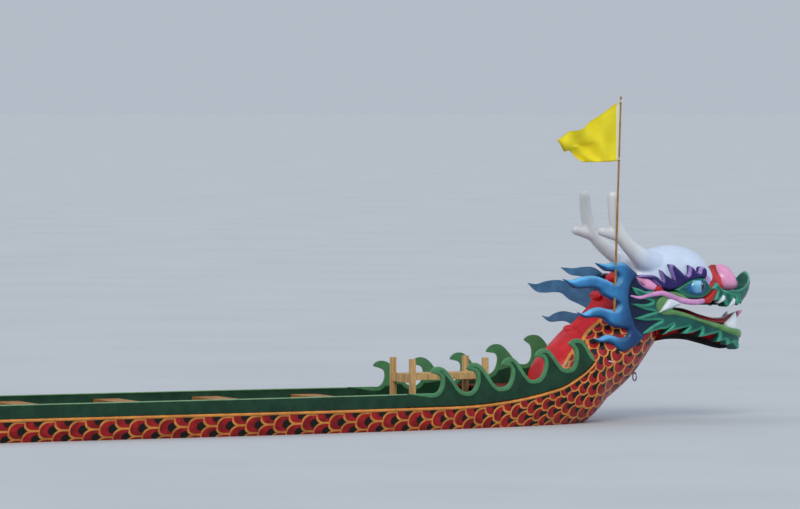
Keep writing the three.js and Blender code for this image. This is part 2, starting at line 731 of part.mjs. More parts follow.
// Tail sections: underside x z, back x z, half width, widest part, flatness of the side
const TAIL = [
  [-END_X, END_KEEL, -END_X, 640, 396, 0.6, 0.5],
  [-5200, 190, -4920, 670, 310, 0.57, 0.6],
  [-5430, 375, -5060, 745, 230, 0.54, 0.65],
  [-5620, 590, -5280, 865, 168, 0.5, 0.7],
  [-5790, 810, -5530, 1010, 120, 0.5, 0.75],
  [-5960, 1040, -5780, 1180, 85, 0.5, 0.75],
  [-6130, 1270, -6020, 1345, 55, 0.5, 0.75],
  [-6250, 1430, -6190, 1465, 32, 0.5, 0.75],
];
const TAIL_FIN = [
  [-5400, 910], [-5560, 1150], [-5640, 1110], [-5760, 1370], [-5850, 1300], [-6000, 1580],
  [-6080, 1490], [-6240, 1740], [-6300, 1580], [-6420, 1560], [-6330, 1480], [-6262, 1450],
];
const FIN_HALF = 15;

function addTail() {
  const tail = eggLoft(TAIL, 10);
  addPiece('tail', 'sideScales', tail);
  const back = [[-6230, 1470], [-6150, 1415], [-5950, 1260], [-5700, 1080], [-5480, 940]];
  const fin = cut(plateXZ([...TAIL_FIN, ...back], -FIN_HALF, FIN_HALF), [eggLoft(TAIL, 10, GAP)]);
  addPiece('tail_fin', 'maneBlue', fin);
}

const POLE = { x: 5085, y: -(MANE_OUTSIDE + 12.4), foot: 900, top: 2750, lean: 62, radius: 10 };
const FLAG_FOOT = 2208;
const FLAG_HEAD = 2720;
const FLAG_FREE_EDGE = [
  [5060, 2660], [4980, 2585], [4846, 2490], [4655, 2449], [4510, 2380], [4578, 2295], [4660, 2290], [4770, 2208],
];
const poleX = (z) => POLE.x + POLE.lean * (z - POLE.foot) / (POLE.top - POLE.foot);

function addFlag() {
  const poleBar = (clear) => taperedBar(
    [POLE.foot, 1700, POLE.top].map((z) => [poleX(z), POLE.y, z]),
    [POLE.radius + 2 + clear, POLE.radius + clear, POLE.radius - 3 + clear], 8, 8,
  );
  addPiece('flag_pole', 'bamboo', poleBar(0));
  const luff = [FLAG_FOOT, FLAG_HEAD].map((z) => [poleX(z) - 3, z]);
  const cloth = plateXZ([...luff, ...FLAG_FREE_EDGE], POLE.y - 3, POLE.y + 3);
  addPiece('flag', 'flagYellow', cut(cloth, [poleBar(GAP)]));
}

function addMooringRing() {
  const ring = new THREE.TorusGeometry(34, 6, 8, 20).rotateY(Math.PI / 2).translate(5452, 0, 372);
  const stud = new THREE.CylinderGeometry(7, 7, 60, 10).rotateZ(Math.PI / 2).translate(5430, 0, 404);
  const fitting = cut(join([ring, stud]), [eggLoft(NECK, 10, GAP)]);
  addPiece('mooring_ring', 'steel', fitting);
}

// Steel bracket on the starboard quarter, crutch that turns in it and the oar between its arms
function addSteering() {
  const { x, y, z } = OAR_PIVOT;
  const hull = -hullY(x, 420);
  const socketTop = z - 90;
  const post = new THREE.CylinderGeometry(17, 17, 250, 16).rotateX(Math.PI / 2).translate(x, y, socketTop - 125);
  const bore = new THREE.CylinderGeometry(9, 9, 120, 16).rotateX(Math.PI / 2).translate(x, y, socketTop - 55);
  const arm = box(x - 18, x + 18, y, hull - 4, 400, 424);
  const foot = box(x - 60, x + 60, hull - 24, hull + 8, 370, 440);
  const board = waveBoard(-1, -1).translate(0, -GAP, 0);
  addPiece('oar_bracket', 'steel', cut(join([post, arm, foot]), [bore, board]));
  const pin = new THREE.CylinderGeometry(8.6, 8.6, 110, 16).rotateX(Math.PI / 2).translate(x, y, socketTop - 49);
  const outside = CRUTCH_INSIDE + CRUTCH_ARM;
  const yoke = box(x - 14, x + 14, y - outside, y + outside, socketTop + GAP, socketTop + 12);
  const bolt = new THREE.CylinderGeometry(BOLT_RADIUS, BOLT_RADIUS, 2 * outside + 12, 12).translate(x, y, z);
  const arms = [-1, 1].map((s) => {
    const inner = y + s * CRUTCH_INSIDE;
    const outer = inner + s * CRUTCH_ARM;
    return box(x - 14, x + 14, Math.min(inner, outer), Math.max(inner, outer), socketTop + 2, z + 30);
  });
  addPiece('oar_crutch', 'steel', join([pin, yoke, bolt, ...arms]));
  addSteeringOar();
}

function addSteeringOar() {
  const { x, y, z } = OAR_PIVOT;
  const shaftLength = OAR_AFT + OAR_FORE - BLADE_LENGTH + 60;
  const shaft = new THREE.CylinderGeometry(OAR_RADIUS, OAR_RADIUS, shaftLength, 14)
    .rotateZ(Math.PI / 2).translate(OAR_FORE - shaftLength / 2, 0, 0);
  const grip = new THREE.CylinderGeometry(17, 17, 220, 12).translate(OAR_FORE - 12, 0, 0);
  const bladeOutline = [
    [-OAR_AFT + BLADE_LENGTH, -24], [-OAR_AFT + BLADE_LENGTH, 24], [-OAR_AFT + BLADE_LENGTH - 160, BLADE_WIDTH / 2],
    [-OAR_AFT + 30, BLADE_WIDTH / 2], [-OAR_AFT, BLADE_WIDTH / 2 - 40], [-OAR_AFT, 40 - BLADE_WIDTH / 2],
    [-OAR_AFT + 30, -BLADE_WIDTH / 2], [-OAR_AFT + BLADE_LENGTH - 160, -BLADE_WIDTH / 2],
  ];
  const blade = plateXZ(bladeOutline, -BLADE_THICK / 2, BLADE_THICK / 2);
  const hole = new THREE.CylinderGeometry(BOLT_RADIUS + GAP, BOLT_RADIUS + GAP, 60, 12);
  const oar = cut(join([shaft, grip, blade]), [hole]);
  oar.rotateY(-OAR_SLOPE).translate(x, y, z);
  addPiece('steering_oar', 'wood', oar);
}

addHullShell();
addGunwales();
addWaveBoards();
addRubRails();
addKeel();
addSeating();
addFloorboards();
addDecks();
addDrumStand();
addHeadBlocks();
addHeel();
addLip();
addBeard();
addHorns();
addManes();
addCheekPieces();
addTail();
addFlag();
addMooringRing();
addSteering();

export default boat;
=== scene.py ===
# The looks of a traditional dragon boat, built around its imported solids.
# Metres. +X forward, +Y port, +Z up. The origin is amidships on the waterline.
import math

import bmesh
import bpy
import numpy as np
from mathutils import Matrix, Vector
from mathutils.geometry import delaunay_2d_cdt


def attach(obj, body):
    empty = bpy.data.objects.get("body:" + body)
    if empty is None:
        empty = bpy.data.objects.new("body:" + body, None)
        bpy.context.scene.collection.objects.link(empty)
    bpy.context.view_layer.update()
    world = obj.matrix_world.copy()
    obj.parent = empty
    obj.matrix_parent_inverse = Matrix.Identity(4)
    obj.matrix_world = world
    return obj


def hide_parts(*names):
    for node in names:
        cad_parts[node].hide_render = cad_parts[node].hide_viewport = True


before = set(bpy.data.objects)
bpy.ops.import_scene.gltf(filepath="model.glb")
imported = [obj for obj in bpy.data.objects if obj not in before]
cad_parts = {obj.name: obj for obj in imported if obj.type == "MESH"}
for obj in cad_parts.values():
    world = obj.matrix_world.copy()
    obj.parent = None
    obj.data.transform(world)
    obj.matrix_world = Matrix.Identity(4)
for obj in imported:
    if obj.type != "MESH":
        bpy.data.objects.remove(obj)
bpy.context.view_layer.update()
SIDES = (("starboard", -1), ("port", 1))

# The camera stands far off the starboard quarter with a long lens
CAMERA_PLACE = (-15.43, -40.059, 2.72)
CAMERA_TILT = 88.34
CAMERA_TURN = -25.0
CAMERA_LENS = 238.95
VIEW_SHEAR = math.tan(math.radians(25.0))

# Hull form, the same driving sizes as the solids
HALF_BEAM = 0.66
END_HALF_BEAM = 0.4
END_X = 4.87
FREEBOARD = 0.31
END_SHEER = 0.57
DRAFT = 0.2
END_KEEL = -0.022
PLANK = 0.024
STRAKE_DEPTH = 0.115
SHEER_START = 3.4
TAPER_START = 1.6
KEEL_START = 3.6
CHINE = 0.95
MID_END = 3.05


def link(name, data):
    """An object for a mesh, lamp or camera, placed in the scene."""
    thing = bpy.data.objects.new(name, data)
    bpy.context.scene.collection.objects.link(thing)
    return thing


def camera():
    data = bpy.data.cameras.new("camera")
    data.lens = CAMERA_LENS
    data.sensor_width = 36.0
    data.clip_end = 3000.0
    eye = link("camera", data)
    eye.location = CAMERA_PLACE
    eye.rotation_euler = (math.radians(CAMERA_TILT), 0.0, math.radians(CAMERA_TURN))
    bpy.context.scene.camera = eye


# Curves and meshes

def curve(points, per=8, loop=False):
    """A smooth curve through rows of numbers, with `per` steps between two rows."""
    rows = np.array(points, float)
    if loop:
        rows = rows[np.arange(-1, len(rows) + 2) % len(rows)]
    else:
        rows = np.vstack([2 * rows[0] - rows[1], rows, 2 * rows[-1] - rows[-2]])
    a, b, c, d = (rows[k:len(rows) - 3 + k, None] for k in range(4))
    t = (np.arange(per) / per)[:, None]
    out = b + 0.5 * t * (c - a + t * (2 * a - 5 * b + 4 * c - d + t * (3 * b - a - 3 * c + d)))
    out = out.reshape(-1, rows.shape[1])
    return out if loop else np.vstack([out, rows[-2]])


def travelled(path):
    """Distance along a path at each of its points."""
    return np.append(0, np.cumsum(np.linalg.norm(np.diff(path, axis=0), axis=1)))


def even(path, step, loop=False):
    """The same path with points about `step` apart."""
    closed = np.vstack([path, path[:1]]) if loop else path
    run = travelled(closed)
    at = np.linspace(0, run[-1], max(2, round(run[-1] / step)) + 1)
    out = np.stack([np.interp(at, run, side) for side in closed.T], 1)
    return out[:-1] if loop else out


def outline(points, step):
    """A closed outline. A point with a third value is a corner, and the rest is smooth."""
    marks = [i for i, p in enumerate(points) if len(p) == 3]
    if not marks:
        return even(curve(points, 8, loop=True), step, loop=True)
    rolled = points[marks[0]:] + points[:marks[0] + 1]
    stretches, run = [], [rolled[0][:2]]
    for p in rolled[1:]:
        run.append(p[:2])
        if len(p) == 3:
            stretches.append(even(curve(run), step)[:-1])
            run = [p[:2]]
    return np.vstack(stretches)


def new_mesh(name, points, faces, values=None):
    """A mesh with its faces pointing out, and the numbers that its finish reads at each point."""
    mesh = bpy.data.meshes.new(name)
    mesh.from_pydata(np.asarray(points, float).tolist(), [], [tuple(map(int, f)) for f in faces])
    for key, numbers in (values or {}).items():
        mesh.attributes.new(key, "FLOAT", "POINT").data.foreach_set("value", np.asarray(numbers, np.float32))
    work = bmesh.new()
    work.from_mesh(mesh)
    bmesh.ops.recalc_face_normals(work, faces=work.faces)
    work.to_mesh(mesh)
    work.free()
    return mesh


def make(name, body, material, replaces=(), values=None, sharp=42.0):
    """A piece from a body's points and faces, with its finish and the nodes that it stands for."""
    return dress(name, new_mesh(name, *body, values), material, replaces, sharp)


def dress(name, mesh, material, replaces=(), sharp=42.0):
    for m in material if isinstance(material, list) else [material]:
        mesh.materials.append(m)
    mesh.polygons.foreach_set("use_smooth", [True] * len(mesh.polygons))
    mesh.set_sharp_from_angle(angle=math.radians(sharp))
    piece = link(name, mesh)
    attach(piece, "boat")
    if replaces:
        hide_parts(*replaces)
    return piece


def both(name, body, material, replaces=(), values=None, port_drop=0.0):
    """A piece made for the port side, there and mirrored to starboard."""
    points, faces = body
    for label, side in SIDES:
        placed = points * (1, side, 1) - (0, 0, port_drop if label == "port" else 0.0)
        make(f"{name}_{label}", (placed, faces), material, [f"{n}_{label}" for n in replaces], values)


def skin(rings, caps=True):
    """A body through equal closed rings of points."""
    rings = np.array(rings, float)
    at = np.arange(rings.shape[0] * rings.shape[1]).reshape(rings.shape[:2])
    after = np.roll(at, -1, axis=1)
    faces = np.stack([at[:-1], after[:-1], after[1:], at[1:]], -1).reshape(-1, 4).tolist()
    if caps:
        faces += [at[0].tolist(), at[-1].tolist()]
    return rings.reshape(-1, 3), faces


def joined(parts):
    """Several bodies as one."""
    points, faces, start = [], [], 0
    for p, f in parts:
        points.append(p)
        faces += [[i + start for i in face] for face in f]
        start += len(p)
    return np.vstack(points), faces


def triangulate(points, boundary):
    """Triangles inside a closed boundary, which is the first points, through all the points."""
    loop = list(range(boundary))
    found = delaunay_2d_cdt([Vector(p) for p in points], [], [loop], 1, 1e-6)
    where = {}
    for new, olds in enumerate(found[3]):
        for old in olds:
            where[old] = new
    return np.array([tuple(v) for v in found[0]]), found[2], [where[i] for i in loop]


def turning(loop):
    """1 for an outline that runs anticlockwise and -1 for one that runs clockwise."""
    after = np.roll(loop, -1, axis=0)
    return np.sign((loop[:, 0] * after[:, 1] - after[:, 0] * loop[:, 1]).sum())


def nearest(points, starts, ends):
    """Distance of each point to the nearest of some straight pieces, which one, and the way from it."""
    best = np.full(len(points), np.inf)
    which = np.zeros(len(points), int)
    way = np.zeros(points.shape)
    for k, (start, along) in enumerate(zip(starts, ends - starts)):
        t = np.clip((points - start) @ along / (along @ along), 0, 1)
        off = points - start - t[:, None] * along
        gap = np.linalg.norm(off, axis=1)
        near = gap < best
        best[near], which[near], way[near] = gap[near], k, off[near]
    return best, which, way


def edge_facts(points, loop):
    """Distance of each point to the outline, and the outline's outward direction there."""
    after = np.roll(loop, -1, axis=0)
    gap, which, _ = nearest(points, loop, after)
    out = np.stack([after[:, 1] - loop[:, 1], loop[:, 0] - after[:, 0]], 1) * turning(loop)
    return gap, (out / np.linalg.norm(out, axis=1)[:, None])[which]


def inside(points, loop):
    """Which points lie inside an outline."""
    hit = np.zeros(len(points), bool)
    x, z = points.T
    for (x0, z0), (x1, z1) in zip(loop, np.roll(loop, -1, axis=0)):
        crosses = (z0 > z) != (z1 > z)
        hit ^= crosses & (x < x0 + (z - z0) * (x1 - x0) / (z1 - z0 + 1e-12))
    return hit


RIM_STEPS = (0.0022, 0.0065)


def relief(loop, profile, place, back, cell):
    """A closed body over an outline: a carved face that rounds over at the edge, walls and a plain back.

    profile: the face's height by the distance from its edge; place: lays outline points in space."""
    ahead = np.roll(loop, -1, axis=0) - np.roll(loop, 1, axis=0)
    inward = np.stack([-ahead[:, 1], ahead[:, 0]], 1) * turning(loop)
    inward /= np.linalg.norm(inward, axis=1)[:, None]
    points = [loop]
    for step in RIM_STEPS:
        rim = loop + inward * step
        points.append(rim[(edge_facts(rim, loop)[0] > 0.93 * step) & inside(rim, loop)])
    low, high = loop.min(0), loop.max(0)
    across, up = np.meshgrid(np.arange(low[0], high[0], cell), np.arange(low[1], high[1], cell * 0.87))
    across[1::2] += cell / 2
    grid = np.stack([across.ravel(), up.ravel()], 1)
    grid = grid[inside(grid, loop)]
    points.append(grid[edge_facts(grid, loop)[0] > RIM_STEPS[-1] + 0.4 * cell])
    flat, faces, border = triangulate(np.vstack(points), len(loop))
    gap, out = edge_facts(flat, loop)
    gap[border] = 0
    front = place(*flat.T, profile(gap))
    flat_back, back_faces, back_border = triangulate(loop, len(loop))
    behind = place(*flat_back.T, np.full(len(flat_back), -back))
    start = len(front)
    faces = list(faces) + [[i + start for i in f] for f in back_faces]
    for k in range(len(border)):
        faces.append((border[k - 1], border[k], back_border[k] + start, back_border[k - 1] + start))
    facts = {"edge": np.append(gap, np.ones(len(behind)))}
    for key, side in zip(("out_x", "out_z"), out.T):
        facts[key] = np.append(side, np.zeros(len(behind)))
    return (np.vstack([front, behind]), faces), facts


def rounded(high, over):
    """Height of a carved face by its distance from the edge: a quarter round, then level."""
    return lambda gap: high * np.sqrt(1 - (1 - np.clip(gap / over, 0, 1)) ** 2)


# Hull sections

def ramp(x, start, power):
    return np.clip((np.abs(x) - start) / (END_X - start), 0, 1) ** power


def half_beam(x):
    return HALF_BEAM + (END_HALF_BEAM - HALF_BEAM) * ramp(x, TAPER_START, 1.7)


def sheer(x):
    return FREEBOARD + (END_SHEER - FREEBOARD) * ramp(x, SHEER_START, 2.1)


def keel_line(x):
    return -DRAFT + (END_KEEL + DRAFT) * ramp(x, KEEL_START, 3.0)


def fullness(x):
    return 0.75 + 0.2 * ramp(x, TAPER_START, 1.5)


def rail_line(x):
    depth = STRAKE_DEPTH * (1 + 0.35 * ramp(x, SHEER_START, 1.5))
    return sheer(x) - depth * np.clip((END_X + 0.015 - np.abs(x)) / 0.33, 0, 1) ** 0.45


def hull_angle(x, z):
    return np.arccos(np.clip((sheer(x) - z) / (sheer(x) - keel_line(x)), 0, 1))


def hull_y(x, z):
    return half_beam(x) * np.sin(hull_angle(x, z)) ** fullness(x)


def section(x, angle):
    y = half_beam(x) * np.sign(angle) * np.abs(np.sin(angle)) ** fullness(x)
    return y, sheer(x) - (sheer(x) - keel_line(x)) * np.cos(angle)


def hull_point(x, angle, inset):
    """Point on the hull's skin, inset square to the bottom and level with the upper side."""
    y, z = section(x, angle)
    y1, z1 = section(x, angle + 0.01)
    y0, z0 = section(x, angle - 0.01)
    size = np.hypot(y1 - y0, z1 - z0)
    level = np.clip((np.abs(angle) - CHINE) / (hull_angle(x, rail_line(x)) - CHINE), 0, 1)
    in_y = (z1 - z0) / size * (1 - level) + np.sign(angle) * level
    return y - in_y * inset, z + (y1 - y0) / size * (1 - level) * inset


# Paint and other finishes

def colour(red, green, blue):
    """A screen colour, 0 to 255, as the shader's linear colour."""
    shares = (red / 255, green / 255, blue / 255)
    return (*(s / 12.92 if s < 0.04 else ((s + 0.055) / 1.055) ** 2.4 for s in shares), 1.0)


def tone(tint, factor, lift=0.0):
    """A lighter or darker tone of a colour."""
    return (*(min(1.0, c * factor + lift) for c in tint[:3]), 1.0)


DARK_GREEN = colour(7, 56, 33)
MID_GREEN = colour(70, 128, 84)
PALE_EDGE_GREEN = colour(122, 160, 118)
GOLD = colour(214, 140, 62)
SCALE_RED = colour(158, 14, 20)
SCALE_DARK = colour(13, 9, 7)
BOTTOM_RED = colour(96, 14, 18)
NECK_RED = colour(204, 22, 34)
# Mane blues: a painted highlight for upper edges, a dark blue for painted shade and the collar's front, and a
# paler back for painted ambient light
MANE_BLUE = colour(46, 122, 178)
MANE_HIGHLIGHT = colour(96, 172, 222)
MANE_DARK = colour(10, 48, 96)
MANE_BACK_LIT = colour(70, 118, 158)
NAVY = colour(7, 30, 66)
WHITE = colour(198, 213, 235)
HORN_WHITE = colour(212, 214, 216)
PURPLE = colour(34, 22, 92)
LILAC = colour(158, 130, 200)
BRIDGE_LILAC = colour(178, 140, 196)
EYE_RIM = colour(24, 84, 140)
TEAL = colour(16, 84, 78)
TEAL_LIGHT = colour(66, 162, 132)
SCOOP_GREEN = colour(26, 104, 88)
LIP_GREEN = colour(94, 142, 84)
PINK = colour(222, 150, 192)
NOSE_RED = colour(172, 24, 26)
MOUTH_RED = colour(122, 12, 20)
# Near black: painted shade under the jaw and inside the mouth, and the nostrils
MOUTH_DARK = colour(12, 5, 5)
TOOTH = colour(214, 222, 232)
WOOD = colour(170, 118, 66)
PALE_WOOD = colour(206, 168, 112)
DECK_RED = colour(112, 36, 26)
BAMBOO = colour(128, 92, 46)
FLAG_YELLOW = colour(240, 224, 48)


class Field:
    """A number that varies over a surface. Arithmetic on it adds the nodes that work the result out."""

    def __init__(self, paint, socket):
        self.paint, self.socket = paint, socket

    def __add__(self, other):
        return self.paint.math("ADD", self, other)

    def __sub__(self, other):
        return self.paint.math("SUBTRACT", self, other)

    def __rsub__(self, other):
        return self.paint.math("SUBTRACT", other, self)

    def __mul__(self, other):
        return self.paint.math("MULTIPLY", self, other)

    def __truediv__(self, other):
        return self.paint.math("DIVIDE", self, other)

    def __abs__(self):
        return self.paint.math("ABSOLUTE", self)


class Paint:
    """One material, with short names for the nodes that it is made of."""

    def __init__(self, name, coat=0.0, metallic=0.0, specular=0.32):
        self.material = bpy.data.materials.new(name)
        self.material.use_nodes = True
        self.shader = self.material.node_tree.nodes["Principled BSDF"].inputs
        self.shader["Metallic"].default_value = metallic
        self.shader["Coat Weight"].default_value = coat
        self.shader["Specular IOR Level"].default_value = specular
        self.place = self.add("ShaderNodeTexCoord").outputs["Object"]

    def add(self, kind, inputs=(), values=(), **settings):
        """A node with its settings, and values fed to some of its inputs."""
        node = self.material.node_tree.nodes.new(kind)
        for key, value in settings.items():
            setattr(node, key, value)
        for key, value in zip(inputs, values):
            self.feed(node.inputs[key], value)
        return node

    def feed(self, socket, value):
        value = value.socket if isinstance(value, Field) else value
        if isinstance(value, bpy.types.NodeSocket):
            self.material.node_tree.links.new(value, socket)
        else:
            socket.default_value = value

    def math(self, operation, *values):
        return Field(self, self.add("ShaderNodeMath", range(3), values, operation=operation).outputs[0])

    def far(self, *sides):
        """Length of the straight line with these sides."""
        total = sides[0] * sides[0]
        for side in sides[1:]:
            total = total + side * side
        return self.math("SQRT", total)

    def value(self, name):
        return Field(self, self.add("ShaderNodeAttribute", attribute_name=name).outputs["Fac"])

    def step(self, value, low, high):
        """0 below low and 1 above high, or the other way round where high is the lower one."""
        numbers = (high, low, 1.0, 0.0) if low > high else (low, high, 0.0, 1.0)
        node = self.add("ShaderNodeMapRange", range(5), (value, *numbers), interpolation_type="SMOOTHSTEP")
        return Field(self, node.outputs["Result"])

    def mix(self, share, first, second):
        return self.add("ShaderNodeMix", (0, 6, 7), (share, first, second), data_type="RGBA").outputs[2]

    def noise(self, scale, detail=3.0, stretch=(1.0, 1.0, 1.0)):
        place = self.add("ShaderNodeMapping", ("Vector", "Scale"), (self.place, stretch)).outputs[0]
        node = self.add("ShaderNodeTexNoise", ("Vector", "Scale", "Detail"), (place, scale, detail))
        return Field(self, node.outputs[0])

    def axis(self, name):
        return Field(self, self.add("ShaderNodeSeparateXYZ", (0,), (self.place,)).outputs["XYZ".index(name)])

    def brushed(self, tint, amount=0.16, scale=9.0):
        """Slow drift of a paint's depth."""
        drift = self.step(self.noise(scale), 0.35, 0.65)
        return self.mix(drift, tone(tint, 1 - amount), tone(tint, 1 + amount, 0.004))

    def bump(self, height, strength=0.2, distance=0.004):
        node = self.add("ShaderNodeBump", ("Strength", "Distance", "Height"), (strength, distance, height))
        self.feed(self.shader["Normal"], node.outputs[0])

    def finish(self, base, rough=(0.28, 0.45), grain=45.0, strength=0.12):
        """The material, with its base colour and a fine grain that varies its roughness."""
        self.feed(self.shader["Base Color"], base)
        marks = self.noise(grain, 4.0)
        spread = self.add("ShaderNodeMapRange", range(5), (marks, 0.3, 0.7, *rough))
        self.feed(self.shader["Roughness"], spread.outputs[0])
        if not self.shader["Normal"].is_linked:
            self.bump(marks, strength)
        return self.material


def gloss(name, tint, rough=(0.28, 0.42), amount=0.14):
    """Plain brushed gloss paint."""
    paint = Paint(name, coat=0.06)
    return paint.finish(paint.brushed(tint, amount), rough, strength=0.06)


def rimmed(name, tint, rim, width, lean=None, soft=0.3):
    """Paint with a band of a second colour along the carved edge, all round or towards one direction.

    soft: how much of the band's width its inner edge takes to fade."""
    paint = Paint(name, coat=0.06)
    drift = (paint.noise(22.0) - 0.5) * (width * 0.4)
    share = paint.step(paint.value("edge") + drift, width * (1 + soft / 2), width * (1 - soft))
    # A band that leans one way is a painted highlight on the edges facing that way
    if lean:
        toward = paint.value("out_x") * lean[0] + paint.value("out_z") * lean[1]
        share = share * paint.step(toward, 0.0, 0.5)
    base = paint.mix(share, paint.brushed(tint), paint.brushed(rim, 0.1))
    return paint.finish(base, (0.28, 0.42), 45.0, 0.05)


def wood(name, tint, along="x"):
    """Sawn and oiled wood, its grain along one axis."""
    paint = Paint(name)
    stretch = [0.35 if axis == along else 6.0 for axis in "xyz"]
    lines = paint.noise(38.0, 3.0, stretch)
    dark = tone(tint, 0.55)
    base = paint.mix(paint.step(paint.noise(9.0, 6.0, stretch), 0.3, 0.7), dark, tone(tint, 1.25))
    base = paint.mix(paint.step(lines, 0.52, 0.68) * 0.45, base, dark)
    paint.bump(lines, 0.25, 0.002)
    return paint.finish(base, (0.45, 0.7), 30.0)


# The painted scales: each row is a run of round-ended scales, and rows lie half a scale apart
ROW = 0.078
SCALE_BLUR = 0.0022


def scale_mark(paint, along, off, size, line):
    """One candidate scale: its inside, its outline and its dark spot, by the place along and off its axis."""
    def reach(shift):
        return paint.far(paint.math("MINIMUM", along - shift, 0.0), off)

    gap = reach(0.0) - size
    fill = paint.step(gap, SCALE_BLUR, -SCALE_BLUR)
    ring = paint.step(abs(gap) - line * 0.5, SCALE_BLUR, -SCALE_BLUR)
    spot = paint.step(reach(size * 0.42 + 0.01) - size * 0.54, 0.006, -0.004)
    return fill, ring, spot


def scaled_paint():
    """Hull and neck paint: gold-edged crimson scales, plain red above the border and below the water."""
    paint = Paint("painted_scales", coat=0.05)
    run, row, period = (paint.value(f"scale_{name}") for name in ("run", "row", "period"))
    size = (paint.step(period, 0.095, 0.2) * 0.44 + 0.56) * ROW
    line = size * 0.15 + 0.007
    rows = []
    for odd in (0, 1):
        number = paint.math("ROUND", (row - odd) * 0.5) * 2.0
        off = (row - odd - number) * ROW
        along = paint.math("FRACT", run - odd / 2 + size / period) * period - size
        rows.append((along, off))
    first_leads = paint.math("LESS_THAN", rows[0][0], rows[1][0])

    def choose(k, on_top):
        """The value of the row that lies on top at this point, or of the one below it."""
        a, b = (rows[0][k], rows[1][k]) if on_top else (rows[1][k], rows[0][k])
        return b + (a - b) * first_leads

    crimson = paint.brushed(SCALE_RED, 0.3, 14.0)
    gold = paint.brushed(GOLD, 0.2, 16.0)
    base = gold
    for on_top, later in ((False, True), (True, True), (False, False), (True, False)):
        along = choose(0, on_top) + period * float(later)
        fill, ring, spot = scale_mark(paint, along, choose(1, on_top), size, line)
        base = paint.mix(fill, base, paint.mix(spot, crimson, SCALE_DARK))
        base = paint.mix(ring, base, gold)
    border = paint.value("border")
    base = paint.mix(paint.step(paint.axis("Z"), -0.035, -0.05), base, paint.brushed(BOTTOM_RED))
    base = paint.mix(paint.step(border, 0.0015, -0.0015), base, paint.brushed(NECK_RED, 0.12))
    base = paint.mix(paint.step(abs(border) - 0.009, 0.002, -0.002), base, gold)
    return paint.finish(base, (0.3, 0.46), 40.0, 0.05)


TURN_X = 4.42
TURN_Z = 0.75
ROW_START = 0.03
END_PERIOD = 0.135
PERIODS = ((0.0, 0.26), (3.0, 0.245), (3.6, 0.2), (TURN_X, END_PERIOD), (9.0, END_PERIOD))
POLAR_PERIOD_AT = 0.6


def scale_flow(x, z, depth, turn, after):
    """Run, row and period of the scales at a place this far from amidships, with the side rolled out flat.

    turn: how far the rows swing up at the boat's end, in radians; after: the period beyond it."""
    fine = np.linspace(0, 9, 1801)
    pace = 1 / np.interp(fine, *zip(*PERIODS))
    total = np.append(0, np.cumsum((pace[1:] + pace[:-1]) / 2 * np.diff(fine)))
    start_run = np.interp(TURN_X, fine, total)
    start_gap = TURN_Z - rail_line(TURN_X) + ROW_START
    dx, dz = x - TURN_X, z - TURN_Z
    gap = np.maximum(np.hypot(dx, dz), 0.05)
    angle = np.arctan2(dx, -dz)
    count = POLAR_PERIOD_AT * turn / END_PERIOD
    along = dx * math.cos(turn) + dz * math.sin(turn)
    across = dx * math.sin(turn) - dz * math.cos(turn)
    straight = (np.interp(x, fine, total), (depth - ROW_START) / ROW, np.interp(x, *zip(*PERIODS)))
    swung = (start_run + count * angle / turn, (gap - start_gap) / ROW, gap * turn / count)
    beyond = (start_run + count + along / after, (across - start_gap) / ROW, after)
    return [np.where(dx <= 0, a, np.where(angle <= turn, b, c)) for a, b, c in zip(straight, swung, beyond)]


BOW_TURN = (math.radians(90), 0.095)
STERN_TURN = (math.radians(52), 0.12)


def scale_values(x, z, depth):
    """The scales' values on both ends: the runs count on towards the bow, so the rounds all point aft."""
    bow = scale_flow(np.abs(x), z, depth, *BOW_TURN)
    stern = scale_flow(np.abs(x), z, depth, *STERN_TURN)
    run, row, period = (np.where(x > 0, a, b) for a, b in zip(bow, stern))
    return {"scale_run": run * np.sign(x), "scale_row": row, "scale_period": period}


FAR_FROM_BORDER = 1.0
SKIN_STEPS = 46
END_STEP = 0.0245
MID_STEP = 0.05


def skin_stations():
    """Places along the hull, closer together towards its ends."""
    ends = np.append(np.arange(SHEER_START, END_X, END_STEP), END_X - 0.0003)
    middle = np.arange(-SHEER_START + MID_STEP, SHEER_START - 0.01, MID_STEP)
    return np.concatenate([-ends[::-1], middle, ends])


def hull_skin(scales, inside_paint):
    """The whole planked shell, from rail line to rail line, with its thickness."""
    x = skin_stations()[:, None]
    half = 2 * SKIN_STEPS + 1
    angle = np.linspace(-1, 1, half) * (hull_angle(x, rail_line(x)) - 0.0015)
    every_x = np.broadcast_to(x, angle.shape)
    outer = np.stack([every_x, *hull_point(x, angle, 0.0)], 2)
    inner = np.stack([every_x, *hull_point(x, angle, PLANK)], 2)
    points, faces = skin(np.concatenate([outer, inner[:, ::-1]], 1), caps=False)
    for start in (0, len(points) - 2 * half):
        last = start + 2 * half - 1
        faces += [(start + i, start + i + 1, last - i - 1, last - i) for i in range(half - 1)]
    steps = np.linalg.norm(np.diff(outer, axis=1, prepend=outer[:, :1])[..., 1:], axis=2)
    run = np.cumsum(steps, 1)
    depth = np.minimum(run, run[:, -1:] - run)
    values = scale_values(every_x, rail_line(x) - depth, depth)
    values = {k: np.concatenate([v, v[:, ::-1]], 1).ravel() for k, v in values.items()}
    values["border"] = np.full(len(points), FAR_FROM_BORDER)
    nodes = [f"hull_bottom_{n}" for n in ("stern", "aft", "mid_aft", "mid_fore", "fore", "bow")]
    nodes += [f"hull_side_{n}_{s}" for n in ("stern", "mid", "bow") for s, _ in SIDES]
    piece = make("hull_planking", (points, faces), [scales, inside_paint], nodes, values)
    for polygon in piece.data.polygons:
        polygon.material_index = int(all(i % (2 * half) >= half for i in polygon.vertices))
    forefeet(inside_paint)


# Half widths of the keel's ends, at their tops and bottoms
FOOT_TOP = 0.028
FOOT_BOTTOM = 0.022


